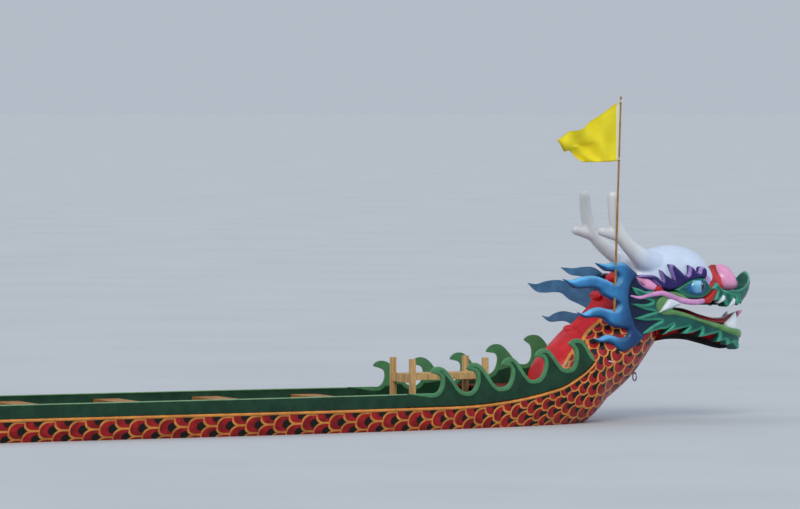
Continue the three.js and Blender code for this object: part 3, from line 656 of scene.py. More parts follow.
def forefeet(paint):
    """The keel's rise towards each end of the boat."""
    for label, fore in (("bow", 1), ("stern", -1)):
        rings = []
        for x in np.linspace(SHEER_START + 0.0002, 4.8, 24):
            low, high = keel_line(x) - 0.0453, keel_line(x) + 0.006
            corners = ((-FOOT_TOP, high), (FOOT_TOP, high), (FOOT_BOTTOM, low), (-FOOT_BOTTOM, low))
            rings.append([(x * fore, y, z) for y, z in corners])
        make(f"forefoot_{label}", skin(rings), paint)


RIB_STATIONS = [2.84 - 0.44 * i for i in range(14)]
RIB_WIDTH = 0.034
RIB_DEPTH = 0.026


def ribs(material):
    """Bent frames inside the planking, two between each pair of thwarts."""
    parts = []
    corners = ((-1, PLANK - 0.003), (-1, PLANK + RIB_DEPTH), (1, PLANK + RIB_DEPTH), (1, PLANK - 0.003))
    for x in RIB_STATIONS:
        reach = hull_angle(x, rail_line(x)) - 0.02
        angle = np.linspace(-reach, reach, 61)
        edges = []
        for at, inset in corners:
            place = np.full(len(angle), x + at * RIB_WIDTH / 2)
            edges.append(np.stack([place, *hull_point(x, angle, inset)], 1))
        parts.append(skin(np.stack(edges, 1)))
    make("ribs", joined(parts), material)


RAIL_WIDTH = 0.024
RAIL_PROUD = 0.012
SEAM = 0.0006


def rub_rails(material):
    """The half-round orange moulding under the green strakes."""
    turns = np.linspace(-math.pi / 2, math.pi / 2, 9)
    rings = []
    for x in skin_stations():
        z = rail_line(x) - RAIL_WIDTH * 0.6 + RAIL_WIDTH / 2 * np.sin(turns)
        rings.append(np.stack([x + 0 * z, hull_y(x, z) + SEAM + RAIL_PROUD * np.cos(turns), z], 1))
    both("rub_moulding", skin(rings), material, ["rub_rail"])


def strakes(material):
    """The plain green strake between the wave boards, with a rounded top edge."""
    rings = []
    for x in np.arange(-MID_END + 0.0003, MID_END, 0.0495):
        top = sheer(x)
        z = np.append(np.linspace(rail_line(x) + SEAM, top - 0.008, 9), [top - 0.003, top - 0.0005])
        last = z > top - 0.001
        y = hull_y(x, z) - 0.004 * last
        inner = (y - PLANK + 0.008 * last)[::-1]
        rings.append(np.stack([np.full(2 * len(z), x), np.append(y, inner), np.append(z, z[::-1])], 1))
    points, faces = skin(rings)
    edge = sheer(points[:, 0]) - points[:, 2]
    both("strake", (points, faces), material, ["gunwale"], {"edge": edge})


# One breaking wave in parts of its base length and in metres of height, from aft to fore
WAVE = (
    (0.0, 0.0), (0.1, -0.002), (0.19, 0.006), (0.275, 0.038), (0.322, 0.092), (0.312, 0.132), (0.26, 0.156),
    (0.17, 0.169), (0.02, 0.186, 1), (0.05, 0.208), (0.13, 0.228), (0.25, 0.234), (0.38, 0.221), (0.5, 0.187),
    (0.6, 0.143), (0.7, 0.094), (0.8, 0.047), (0.91, 0.011),
)
# Waves on each end: start, base length, height factor
WAVES = ((3.255, 0.34, 0.93), (3.598, 0.336, 1.0), (3.94, 0.318, 1.0), (4.262, 0.335, 1.02))
# The last wave runs down to the neck: x and z
LAST_WAVE = (
    (4.606, 0.478), (4.634, 0.482), (4.66, 0.507), (4.674, 0.55), (4.675, 0.603), (4.661, 0.641),
    (4.634, 0.664), (4.607, 0.683, 1), (4.619, 0.702), (4.653, 0.721), (4.694, 0.727), (4.736, 0.718),
    (4.779, 0.683), (4.811, 0.638), (4.835, 0.6), (4.866, 0.566, 1),
)


BOARD_LAP = 0.024


def wave_outline():
    """The upper edge of a wave board, and its whole outline."""
    top = [(MID_END - BOARD_LAP, FREEBOARD - 0.0005, 1), (MID_END + 0.1, FREEBOARD - 0.0005)]
    for start, length, height in WAVES:
        for u, v, *corner in WAVE:
            x = start + u * length
            top.append((x, sheer(x) + v * height, *corner))
    top += LAST_WAVE
    below = [[x, rail_line(x) + SEAM] for x in np.linspace(END_X - 0.006, MID_END - BOARD_LAP, 40)]
    below[0].append(1)
    below[-1].append(1)
    return top, outline(top + below, 0.009)


# The boards' light border runs out towards the plain strake, and follows only the edge below this height
BORDER_START = 3.24
BORDER_TAPER = 0.18
BORDER_TOP = 0.9
BOARD_INSET = 0.0075


def wave_boards(material):
    """The carved boards that raise the sides at both ends, with wave crests along their tops."""
    top, loop = wave_outline()
    upper = outline(top + [(END_X, 3.0, 1), (MID_END, 3.0, 1)], 0.009)
    upper = upper[upper[:, 1] < BORDER_TOP]

    def place(x, z, high):
        return np.stack([x, hull_y(x, np.minimum(z, sheer(x))) - BOARD_INSET + high, z], 1)

    (points, faces), facts = relief(loop, rounded(0.007, 0.01), place, PLANK - 0.007, 0.016)
    from_top = np.array([np.min(np.hypot(upper[:, 0] - x, upper[:, 1] - z)) for x, z in points[:, (0, 2)]])
    facts["edge"] = from_top + BORDER_TAPER * np.clip(BORDER_START - points[:, 0], 0, 1)
    for label, side in SIDES:
        for end, fore in (("bow", 1), ("stern", -1)):
            name, body = f"{end}_{label}", (points * (fore, side, 1), faces)
            make(f"waves_{name}", body, material, [f"wave_board_{name}"], facts)


NECK_BACK = 1.1
# Neck and tail sections: lower x z, upper x z, half width, widest part, flatness of the side
NECK = (
    (4.87, -0.022, 4.87, 0.85, 0.398, 0.55, 0.5),
    (5.12, 0.155, 4.91, 0.888, 0.345, 0.55, 0.55),
    (5.3, 0.285, 4.962, 0.94, 0.31, 0.53, 0.6),
    (5.427, 0.395, 5.022, 1.0, 0.285, 0.52, 0.65),
    (5.52, 0.51, 5.06, 1.08, 0.268, 0.5, 0.68),
    (5.6, 0.615, 5.125, 1.15, 0.256, 0.5, 0.7),
    (5.652, 0.685, 5.19, 1.213, 0.25, 0.5, 0.7),
)
TAIL = (
    (-4.87, -0.022, -4.87, 0.64, 0.396, 0.6, 0.5),
    (-5.2, 0.19, -4.92, 0.67, 0.31, 0.57, 0.6),
    (-5.43, 0.375, -5.06, 0.745, 0.23, 0.54, 0.65),
    (-5.62, 0.59, -5.28, 0.865, 0.168, 0.5, 0.7),
    (-5.79, 0.81, -5.53, 1.01, 0.12, 0.5, 0.75),
    (-5.96, 1.04, -5.78, 1.18, 0.085, 0.5, 0.75),
    (-6.13, 1.27, -6.02, 1.345, 0.055, 0.5, 0.75),
    (-6.25, 1.43, -6.19, 1.465, 0.032, 0.5, 0.75),
)


def egg_width(share, half, widest, flat, back=None):
    """Half width of an egg-shaped section at a share of its height.

    back: the section's own flatness towards its upper point, where that is sharper."""
    power = flat if back is None else flat + (back - flat) * np.clip((share - widest) / (1 - widest), 0, 1)
    return half * np.maximum(np.sin(math.pi * share ** (math.log(0.5) / math.log(widest))), 0) ** power


def egg(row, points, back=None):
    """A row's section as places from its lower to its upper point, and its half widths there."""
    low, high = np.array(row[0:2]), np.array(row[2:4])
    share = (1 - np.cos(np.linspace(0, math.pi, points + 1))) / 2
    y = egg_width(share, *row[4:7], back)
    y[0] = y[-1] = 0
    return low + share[:, None] * (high - low), y


def egg_skin(table, points, per, first=None, back=None):
    """Rings of an egg-shaped trunk and its half sections. first reshapes the widths near the hull."""
    rings, halves = [], []
    rows = curve(table, per)
    for r, row in enumerate(rows):
        places, y = egg(row, points, back)
        if first:
            y = first(r / (len(rows) - 1), places, y)
        up = np.stack([places[:, 0], y, places[:, 1]], 1)
        rings.append(np.vstack([up, up[-2:0:-1] * (1, -1, 1)]))
        halves.append((places, y))
    return np.array(rings), halves


def rolled_out(places, y):
    """Places of a half section with its rounding rolled out flat on both sides of its widest point."""
    middle = int(np.argmax(y))
    axis = (places[-1] - places[0]) / np.linalg.norm(places[-1] - places[0])
    run = np.append(0, np.cumsum(np.hypot(np.linalg.norm(np.diff(places, axis=0), axis=1), np.diff(y))))
    return places[middle] + (run - run[middle])[:, None] * axis


def onto_hull(share, places, y):
    """Blends a trunk's first sections out of the hull's own end section."""
    end = np.minimum(hull_y(END_X, np.minimum(places[:, 1], END_SHEER)), END_HALF_BEAM)
    low = np.clip((0.5 - places[:, 1]) / 0.12, 0, 1) * np.clip(1 - share / 0.22, 0, 1) ** 1.5
    out = y * (1 - low) + end * low
    out[0] = 0
    return out


# The gold line between the red back and the scales, on the neck's side
BORDER = (
    (4.3, 0.2), (4.6, 0.4), (4.655, 0.493), (4.748, 0.624), (4.841, 0.708), (4.936, 0.789), (5.019, 0.847),
    (5.08, 0.895), (5.16, 0.95), (5.26, 1.02), (5.4, 1.1),
)


def border_distance(x, z):
    """Distance to the border line: above 0 on the scales' side."""
    line = curve(BORDER, 6)
    gap, which, way = nearest(np.stack([x.ravel(), z.ravel()], 1), line[:-1], line[1:])
    along = np.diff(line, axis=0)[which]
    return gap * np.sign(along[:, 1] * way[:, 0] - along[:, 0] * way[:, 1])


ROLL_HEIGHT = 0.53


def trunk(name, table, scales, node, back=None, border=True):
    """The neck or the tail, scaled like the hull that it grows out of."""
    rings, halves = egg_skin(table, 44, 12, onto_hull, back)
    flat = np.array([rolled_out(*half) for half in halves])
    flat = np.concatenate([flat, flat[:, -2:0:-1]], 1).reshape(-1, 2)
    values = scale_values(flat[:, 0], flat[:, 1], ROLL_HEIGHT - flat[:, 1])
    points, faces = skin(rings)
    values["border"] = np.full(len(points), FAR_FROM_BORDER)
    if border:
        values["border"] = border_distance(points[:, 0], points[:, 2])
    make(name, (points, faces), scales, [node], values)


FLOOR_RADIUS = 1000.0
FLOOR_HOLE_END = 4.84


def stage_floor():
    """A pale floor at the waterline, open inside the hull."""
    x = np.linspace(-FLOOR_HOLE_END, FLOOR_HOLE_END, 160)
    y = hull_y(x, 0.0)
    side = np.stack([x, y - PLANK / 2, 0 * x], 1)[y > PLANK]
    hole = np.vstack([side, side[::-1] * (1, -1, 1)])
    rim = hole / np.linalg.norm(hole, axis=1)[:, None] * FLOOR_RADIUS
    floor = link("floor", new_mesh("floor", *skin([hole, rim], caps=False)))
    paint = Paint("floor_paint")
    base = paint.brushed(colour(189, 194, 200), 0.02, 0.4)
    floor.data.materials.append(paint.finish(base, (0.85, 0.95), 5.0, 0.02))


SKY_TINT = (0.8, 0.88, 1.0, 1.0)
SKY_STRENGTH = 0.57
# Lamps: name, aim, power, width in degrees, tint
LAMPS = (
    ("key", (0.45, 0.95, -0.9), 1.35, 30.0, (1.0, 0.95, 0.88)),
    ("fill", (-0.8, 0.5, -0.9), 0.5, 60.0, (0.9, 0.95, 1.0)),
    ("rim", (0.85, -0.35, -0.7), 0.35, 40.0, (1.0, 0.97, 0.94)),
)


def lights():
    """Bright even sky, a soft high sun over the camera's left shoulder and two weaker ones."""
    world = bpy.data.worlds.new("studio")
    world.use_nodes = True
    sky = world.node_tree.nodes["Background"].inputs
    sky[0].default_value, sky[1].default_value = SKY_TINT, SKY_STRENGTH
    bpy.context.scene.world = world
    for name, aim, power, width, tint in LAMPS:
        data = bpy.data.lights.new(name, "SUN")
        data.energy, data.angle, data.color = power, math.radians(width), tint
        link(name, data).rotation_euler = Vector(aim).to_track_quat("-Z", "Y").to_euler()
    bpy.context.scene.view_settings.view_transform = "Standard"


def refinish(names, material):
    """A CAD node whose shape is right keeps it and gets a better material and softer edges."""
    for name in names:
        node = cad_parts[name]
        edge = node.modifiers.new("soft_edges", "BEVEL")
        edge.width, edge.segments, edge.limit_method, edge.angle_limit = 0.004, 2, "ANGLE", math.radians(40)
        node.data.materials.clear()
        node.data.materials.append(material)


# The carved head. Outlines below are as seen from the starboard quarter, at a plane this far off the centre;
# a Flank lays them on the head's rounding and mirrors them to port.

class Flank:
    """A side of the head seen from above, as a run of places from aft to fore."""

    def __init__(self, *plan):
        self.line = even(curve(plan, 12), 0.004)
        self.run = plan[0][0] + travelled(self.line)
        along = np.gradient(self.line, self.run, axis=0)
        along /= np.linalg.norm(along, axis=1)[:, None]
        self.out = np.stack([-along[:, 1], along[:, 0]], 1)

    def traced(self, points, plane, lift):
        """Points seen at a plane off the centre, as runs along this flank."""
        seen = (self.line + self.out * lift) @ (1, VIEW_SHEAR)
        last = int(np.argmax(seen)) + 1
        runs = np.interp([p[0] + VIEW_SHEAR * plane for p in points], seen[:last], self.run[:last])
        return [(float(r), *p[1:]) for r, p in zip(runs, points)]

    def place(self, lift):
        def put(run, z, high):
            x, y, out_x, out_y = (np.interp(run, self.run, side) for side in (*self.line.T, *self.out.T))
            return np.stack([x + out_x * (lift + high), y + out_y * (lift + high), z], 1)
        return put


SKULL_SIDE = Flank((4.4, 0.262), (5.2, 0.252), (5.65, 0.262), (5.9, 0.25), (6.05, 0.205), (6.15, 0.162),
                   (6.25, 0.142), (6.32, 0.118), (6.45, 0.105))
MANE_SIDE = Flank((4.4, 0.335), (4.7, 0.332), (4.92, 0.324), (5.1, 0.298), (5.3, 0.266), (5.6, 0.258))
SCOOP_SIDE = Flank((6.15, 0.16), (6.25, 0.162), (6.315, 0.164), (6.37, 0.155), (6.42, 0.13),
                   (6.46, 0.095), (6.48, 0.05))
JAW_SIDE = Flank((5.1, 0.252), (5.5, 0.25), (5.75, 0.232), (6.0, 0.208), (6.17, 0.188), (6.285, 0.158),
                 (6.355, 0.1), (6.372, 0.0))


def carving(name, flank, points, plane, material, cut, replaces=(), step=0.007, front=(), below=(),
            port_drop=0.0, lean=None):
    """One carved and painted shape on both sides of the head.

    plane: how far off the centre its outline is seen. cut: how far it stands off the flank, the height and
    the width of its rounding, its depth behind and the distance of its inner points.
    front: runs that lead it on round the front of the jaw, and below: its traced way back.
    lean: the height above which it leans in towards the centre plane, and how far for each metre up."""
    lift, high, over, back, cell = cut
    rows = flank.traced(points, plane, lift) + list(front) + flank.traced(below, plane, lift)
    (body, faces), facts = relief(outline(rows, step), rounded(high, over), flank.place(lift), back, cell)
    if lean:
        inward = np.maximum(body[:, 2] - lean[0], 0) * lean[1]
        inward = np.minimum(inward, np.maximum(body[:, 1] - 0.001, 0))
        body = body + np.stack([VIEW_SHEAR * inward, -inward, 0 * inward], 1)
    both(name, (body, faces), material, replaces, facts, port_drop)


def tube(path, radii, sides=14, flat=1.0, across=(0.0, 1.0, 0.0)):
    """A round bar along a path, with rounded ends. across: a direction that the path never runs in."""
    path = np.array(path, float)
    radii = np.broadcast_to(radii, len(path))
    along = np.gradient(path, axis=0)
    along /= np.linalg.norm(along, axis=1)[:, None]
    turns = np.linspace(0, 2 * math.pi, sides, endpoint=False)[:, None]
    rings = []
    for place, way, radius in zip(path, along, radii):
        side = np.cross(way, across)
        side /= np.linalg.norm(side)
        rings.append(place + radius * (np.cos(turns) * side + flat * np.sin(turns) * np.cross(way, side)))
    ends = []
    for k, sign in ((0, -1), (-1, 1)):
        out = sign * along[k] * radii[k]
        ends.append([path[k] + out * math.sqrt(1 - s * s) + (rings[k] - path[k]) * s for s in (0.5, 0.85)])
    return skin(ends[0] + rings + ends[1][::-1])


def ball(centre, radii):
    """An ellipsoid."""
    turn = np.linspace(0, math.pi, 25)[1:-1, None]
    at = np.linspace(0, 2 * math.pi, 32, endpoint=False)
    way = np.stack([np.sin(turn) * np.cos(at), np.cos(turn) + 0 * at, np.sin(turn) * np.sin(at)], 2)
    return skin(way * radii + centre)


def egg_body(table, points=30):
    """A closed body through a table's egg-shaped sections."""
    return skin(egg_skin(table, points, 10)[0])


SKULL = (
    (5.653, 0.6855, 5.1905, 1.214, 0.252, 0.5, 0.55),
    (5.653, 0.9, 5.3, 1.345, 0.262, 0.5, 0.55),
    (5.71, 1.0, 5.48, 1.43, 0.265, 0.5, 0.55),
    (5.88, 1.0, 5.76, 1.489, 0.25, 0.5, 0.55),
    (6.05, 1.0, 6.0, 1.444, 0.205, 0.45, 0.55),
    (6.15, 1.018, 6.135, 1.31, 0.15, 0.45, 0.55),
    (6.2, 1.06, 6.18, 1.215, 0.095, 0.45, 0.55),
)
# Horn places: x, off the centre plane, z, radius
HORN = (
    (5.6, 0.1, 1.3, 0.12), (5.5, 0.15, 1.345, 0.11), (5.42, 0.195, 1.385, 0.092), (5.35, 0.225, 1.428, 0.076),
    (5.285, 0.243, 1.478, 0.066), (5.215, 0.252, 1.545, 0.06), (5.163, 0.257, 1.62, 0.058),
    (5.13, 0.26, 1.71, 0.055), (5.112, 0.262, 1.82, 0.05), (5.104, 0.262, 1.915, 0.046),
)
HORN_TINE = (
    (5.23, 0.255, 1.545, 0.054), (5.15, 0.252, 1.58, 0.049), (5.07, 0.248, 1.603, 0.045),
    (5.01, 0.244, 1.618, 0.041),
)


def remeshed(name, parts, cell, smooth):
    """Several bodies melted into one smooth one."""
    rough = link(name + "_rough", new_mesh(name, *joined(parts)))
    melt = rough.modifiers.new("melt", "REMESH")
    melt.mode, melt.voxel_size = "VOXEL", cell
    soften = rough.modifiers.new("soften", "SMOOTH")
    soften.factor, soften.iterations = 0.6, smooth
    done = bpy.data.meshes.new_from_object(rough.evaluated_get(bpy.context.evaluated_depsgraph_get()))
    bpy.data.objects.remove(rough)
    done.name = name
    return done


def head_paint():
    """White above the brow, teal below it, and red down the back of the neck."""
    paint = Paint("head_white", coat=0.3)
    x, z = paint.axis("X"), paint.axis("Z")
    front, horns = paint.brushed(WHITE, 0.05, 4.0), paint.brushed(HORN_WHITE, 0.06, 5.0)
    white = paint.mix(paint.step(x, 5.5, 5.25), front, horns)
    base = paint.mix(paint.step(z + x * 0.03, 1.33, 1.36), paint.brushed(TEAL), white)
    nape = paint.step(x + z * 0.9, 6.49, 6.48) * paint.step(z, 1.42, 1.4)
    base = paint.mix(nape, base, paint.brushed(NECK_RED))
    return paint.finish(base, (0.26, 0.36), 45.0, 0.02)


def skull_and_horns():
    parts = [egg_body(SKULL)]
    for side in (-1, 1):
        for bar in (HORN, HORN_TINE):
            rows = curve(bar)
            parts.append(tube(rows[:, :3] * (1, side, 1), rows[:, 3], 18))
    done = remeshed("head_dome", parts, 0.0085, 22)
    dress("head_dome", done, head_paint(), ["skull", "horn_starboard", "horn_port"])


# The mane: four locks flung aft from one upright band
MANE = (
    (5.096, 1.358), (5.186, 1.353), (5.273, 1.289), (5.309, 1.257), (5.297, 1.233), (5.246, 1.167),
    (5.228, 1.048), (5.254, 0.922), (5.297, 0.809), (5.362, 0.745), (5.376, 0.727), (5.35, 0.697),
    (5.287, 0.646), (5.215, 0.61), (5.155, 0.602), (5.11, 0.628), (5.075, 0.662), (5.016, 0.684),
    (4.949, 0.685), (4.889, 0.724, 1), (4.949, 0.722), (4.995, 0.742), (5.037, 0.749), (5.09, 0.738),
    (5.145, 0.722), (5.19, 0.728), (5.216, 0.756), (5.21, 0.788), (5.155, 0.801), (5.061, 0.827),
    (4.983, 0.884), (4.923, 0.898), (4.835, 0.893), (4.795, 0.905), (4.742, 0.95, 1), (4.803, 0.936),
    (4.865, 0.967), (4.944, 0.983), (5.038, 0.964), (5.108, 0.961), (5.13, 1.001), (5.061, 1.044),
    (4.99, 1.08), (4.928, 1.133), (4.865, 1.145), (4.771, 1.142), (4.693, 1.154), (4.608, 1.228, 1),
    (4.693, 1.217), (4.779, 1.24), (4.896, 1.249), (4.99, 1.223), (5.1, 1.183), (5.135, 1.224),
    (5.092, 1.274), (5.006, 1.289), (4.943, 1.332), (4.916, 1.357, 1), (5.021, 1.348),
)


# The port mane was hung a little lower than the starboard one
MANE_PORT_DROP = 0.055


def mane_paint():
    """Blue: painted highlight on upper edges, painted shade on lower edges, dark collar front, paler backs as
    painted ambient light.
    """
    paint = Paint("mane_blue", coat=0.08)
    edge = paint.value("edge")
    up = paint.value("out_z") - paint.value("out_x") * 0.5
    # Painted highlight along the locks' upward-facing edges
    light = paint.step(edge, 0.034, 0.006) * paint.step(up, -0.1, 0.7)
    # Painted shade along their downward-facing edges
    low = paint.step(edge, 0.03, 0.008) * paint.step(up, 0.0, -0.7)
    front = paint.step(paint.axis("X") - paint.axis("Z") * 0.1, 4.96, 5.19)
    base = paint.mix(light, paint.brushed(MANE_BLUE), paint.brushed(MANE_HIGHLIGHT))
    base = paint.mix(low * 0.75, base, MANE_DARK)
    base = paint.mix(front * 0.9, base, MANE_DARK)
    # Back faces take a paler, greyer blue: painted ambient light
    base = paint.mix(paint.step(edge, 0.5, 0.9), base, paint.brushed(MANE_BACK_LIT))
    return paint.finish(base, (0.34, 0.46))


CHEEK_GROUND = (
    (5.2, 1.215), (5.34, 1.248), (5.447, 1.19), (5.6, 1.14), (5.62, 0.95), (5.6, 0.83), (5.5, 0.775),
    (5.42, 0.742), (5.345, 0.752), (5.26, 0.884), (5.215, 1.039),
)
FLAMES = (
    (5.28, 1.151, 1), (5.367, 1.128), (5.415, 1.109), (5.494, 1.11), (5.605, 1.101), (5.74, 1.081),
    (5.812, 1.052), (5.844, 1.016, 1), (5.74, 1.001), (5.669, 0.949, 1), (5.812, 0.911), (5.924, 0.871),
    (6.044, 0.837), (6.164, 0.806), (6.244, 0.777), (6.31, 0.76, 1),
)
# The same flames on the front of the jaw, as runs along its side, and back along the lower edge
FLAMES_ROUND_FRONT = (
    (6.52, 0.715, 1), (6.52, 0.64), (6.49, 0.6, 1), (6.45, 0.64), (6.425, 0.655, 1), (6.405, 0.61),
    (6.385, 0.592, 1), (6.34, 0.64),
)
FLAMES_BELOW = (
    (6.32, 0.655, 1), (6.293, 0.621, 1), (6.26, 0.656), (6.236, 0.648, 1), (6.2, 0.636, 1), (6.195, 0.67),
    (6.18, 0.68, 1), (6.14, 0.669), (6.1, 0.665, 1), (6.122, 0.71), (6.12, 0.744, 1), (6.084, 0.734),
    (6.028, 0.725), (5.972, 0.715), (5.928, 0.712, 1), (5.95, 0.75), (5.952, 0.782, 1), (5.924, 0.765),
    (5.876, 0.752), (5.812, 0.742), (5.768, 0.745, 1), (5.803, 0.775), (5.828, 0.797, 1), (5.796, 0.792),
    (5.74, 0.782), (5.693, 0.774), (5.645, 0.763), (5.586, 0.738, 1), (5.635, 0.785), (5.673, 0.821, 1),
    (5.617, 0.788), (5.574, 0.785), (5.526, 0.778), (5.479, 0.766), (5.431, 0.755), (5.384, 0.745, 1),
    (5.415, 0.774), (5.471, 0.812), (5.526, 0.842), (5.558, 0.856, 1), (5.51, 0.86), (5.431, 0.858),
    (5.368, 0.866), (5.308, 0.881, 1), (5.368, 0.898), (5.439, 0.918), (5.504, 0.934, 1), (5.47, 0.94),
    (5.407, 0.953), (5.336, 0.979), (5.272, 1.004, 1), (5.336, 1.007), (5.415, 1.002), (5.474, 1.017, 1),
    (5.446, 1.03), (5.391, 1.048), (5.336, 1.074), (5.304, 1.109),
)
JAW_BAND = (
    (5.503, 0.994), (5.514, 1.029), (5.547, 1.061), (5.586, 1.088), (5.626, 1.101), (5.69, 1.103),
    (5.753, 1.083), (5.801, 1.054), (5.833, 1.024, 1), (5.785, 1.004), (5.729, 0.998), (5.662, 0.955, 1),
    (5.801, 0.918), (5.913, 0.874), (6.033, 0.843), (6.153, 0.812), (6.233, 0.783), (6.306, 0.77),
)
JAW_BAND_ROUND_FRONT = ((6.42, 0.76), (6.52, 0.752, 1), (6.52, 0.68, 1), (6.42, 0.682))
JAW_BAND_BELOW = (
    (6.306, 0.696), (6.193, 0.736), (6.113, 0.771), (6.017, 0.803), (5.913, 0.84), (5.801, 0.876),
    (5.674, 0.899), (5.595, 0.902), (5.539, 0.917), (5.511, 0.942),
)
LIDS = (
    (5.695, 1.118, 1), (5.769, 1.16), (5.825, 1.187), (5.881, 1.206), (5.935, 1.214), (5.985, 1.203),
    (6.018, 1.169), (6.048, 1.133), (6.058, 1.117), (6.041, 1.094), (6.009, 1.065), (5.961, 1.045),
    (5.913, 1.04), (5.849, 1.046), (5.793, 1.062), (5.745, 1.092),
)
EYE_HOLLOW = (
    (5.79, 1.128, 1), (5.845, 1.172), (5.905, 1.2), (5.96, 1.2), (5.992, 1.165), (5.992, 1.11), (5.96, 1.076),
    (5.9, 1.07), (5.84, 1.09),
)
BROW = (
    (5.322, 1.228, 1), (5.362, 1.243), (5.425, 1.248), (5.48, 1.244), (5.512, 1.233), (5.54, 1.215),
    (5.564, 1.19, 1), (5.569, 1.204), (5.556, 1.24), (5.55, 1.288, 1), (5.572, 1.278), (5.599, 1.249),
    (5.639, 1.224), (5.672, 1.202, 1), (5.659, 1.245), (5.643, 1.294), (5.639, 1.334, 1), (5.679, 1.329),
    (5.71, 1.304), (5.742, 1.279), (5.774, 1.247), (5.798, 1.234, 1), (5.812, 1.245), (5.823, 1.271),
    (5.828, 1.323, 1), (5.862, 1.305), (5.886, 1.277), (5.912, 1.256, 1), (5.92, 1.27), (5.93, 1.298),
    (5.958, 1.31), (5.984, 1.29), (5.99, 1.255), (5.987, 1.226), (5.974, 1.204, 1), (5.934, 1.216),
    (5.902, 1.212), (5.87, 1.205), (5.838, 1.198), (5.798, 1.178), (5.758, 1.154), (5.719, 1.137),
    (5.679, 1.124), (5.631, 1.117), (5.592, 1.121), (5.552, 1.136), (5.512, 1.168), (5.473, 1.197),
    (5.433, 1.211), (5.386, 1.214),
)
EAR = (
    (5.306, 1.238, 1), (5.35, 1.23), (5.42, 1.222), (5.48, 1.19), (5.52, 1.153), (5.506, 1.127),
    (5.486, 1.11), (5.447, 1.114), (5.399, 1.132), (5.356, 1.161), (5.328, 1.193),
)
EAR_CREASES = (
    ((5.345, 1.22, 1), (5.4, 1.204), (5.455, 1.19, 1), (5.398, 1.197)),
    ((5.342, 1.21, 1), (5.39, 1.172), (5.465, 1.146, 1), (5.385, 1.164)),
)
EAR_ROOT = ((5.498, 1.1), (5.506, 1.141), (5.527, 1.157), (5.551, 1.153), (5.573, 1.129), (5.583, 1.1))
RED_STRIP = (
    (6.097, 1.122), (6.103, 1.097), (6.085, 1.06), (6.063, 1.025), (6.047, 1.003), (6.011, 0.992),
    (5.975, 1.0), (5.95, 1.03), (6.003, 1.05), (6.043, 1.08), (6.067, 1.112),
)
MUZZLE_RED = (
    (6.05, 1.237), (6.078, 1.272), (6.11, 1.303), (6.138, 1.316), (6.165, 1.3), (6.19, 1.249), (6.19, 1.192),
    (6.205, 1.135), (6.22, 1.105, 1), (6.174, 1.124), (6.15, 1.155), (6.134, 1.166, 1), (6.102, 1.131),
    (6.078, 1.117), (6.038, 1.121, 1), (6.07, 1.166), (6.082, 1.201),
)
BRIDGE = (
    (6.025, 1.24), (6.06, 1.222), (6.071, 1.198), (6.063, 1.16), (6.031, 1.128), (6.007, 1.139),
    (5.999, 1.185),
)
LIP_FLANK = (
    (6.095, 1.12, 1), (6.134, 1.153), (6.152, 1.172, 1), (6.175, 1.149), (6.211, 1.113), (6.263, 1.096),
    (6.3, 1.09), (6.33, 1.06), (6.33, 1.03), (6.308, 1.028, 1), (6.29, 0.995), (6.258, 0.96, 1),
    (6.233, 0.985), (6.214, 1.056, 1), (6.183, 1.028), (6.119, 1.016, 1), (6.143, 1.06), (6.155, 1.098, 1),
)
LIP_FRONT = (
    (6.266, 1.078), (6.301, 1.085), (6.349, 1.09), (6.375, 1.074), (6.38, 1.038), (6.377, 1.003),
    (6.358, 0.971, 1), (6.342, 0.992), (6.34, 1.027), (6.331, 1.048, 1), (6.29, 1.02), (6.266, 0.998),
)
SMALL_TOOTH = ((6.17, 0.992, 1), (6.186, 1.03), (6.208, 1.062), (6.228, 1.05), (6.222, 1.012))
SMALL_FANG = ((6.268, 0.966, 1), (6.288, 1.006), (6.312, 1.038), (6.33, 1.02), (6.324, 0.972, 1))
TUSK = (
    (5.626, 1.046), (5.68, 1.04), (5.742, 1.01, 1), (5.735, 0.99), (5.69, 0.972), (5.62, 0.948),
    (5.535, 0.926), (5.545, 0.946), (5.59, 1.005),
)
BARBEL = (
    (5.244, 0.335, 1.074, 0.007), (5.33, 0.328, 1.058, 0.013), (5.415, 0.318, 1.074, 0.017),
    (5.5, 0.312, 1.088, 0.021), (5.56, 0.31, 1.091, 0.022), (5.64, 0.308, 1.064, 0.024),
    (5.73, 0.305, 1.031, 0.025), (5.825, 0.298, 1.013, 0.025), (5.905, 0.285, 1.011, 0.025),
    (5.96, 0.268, 1.017, 0.023),
)


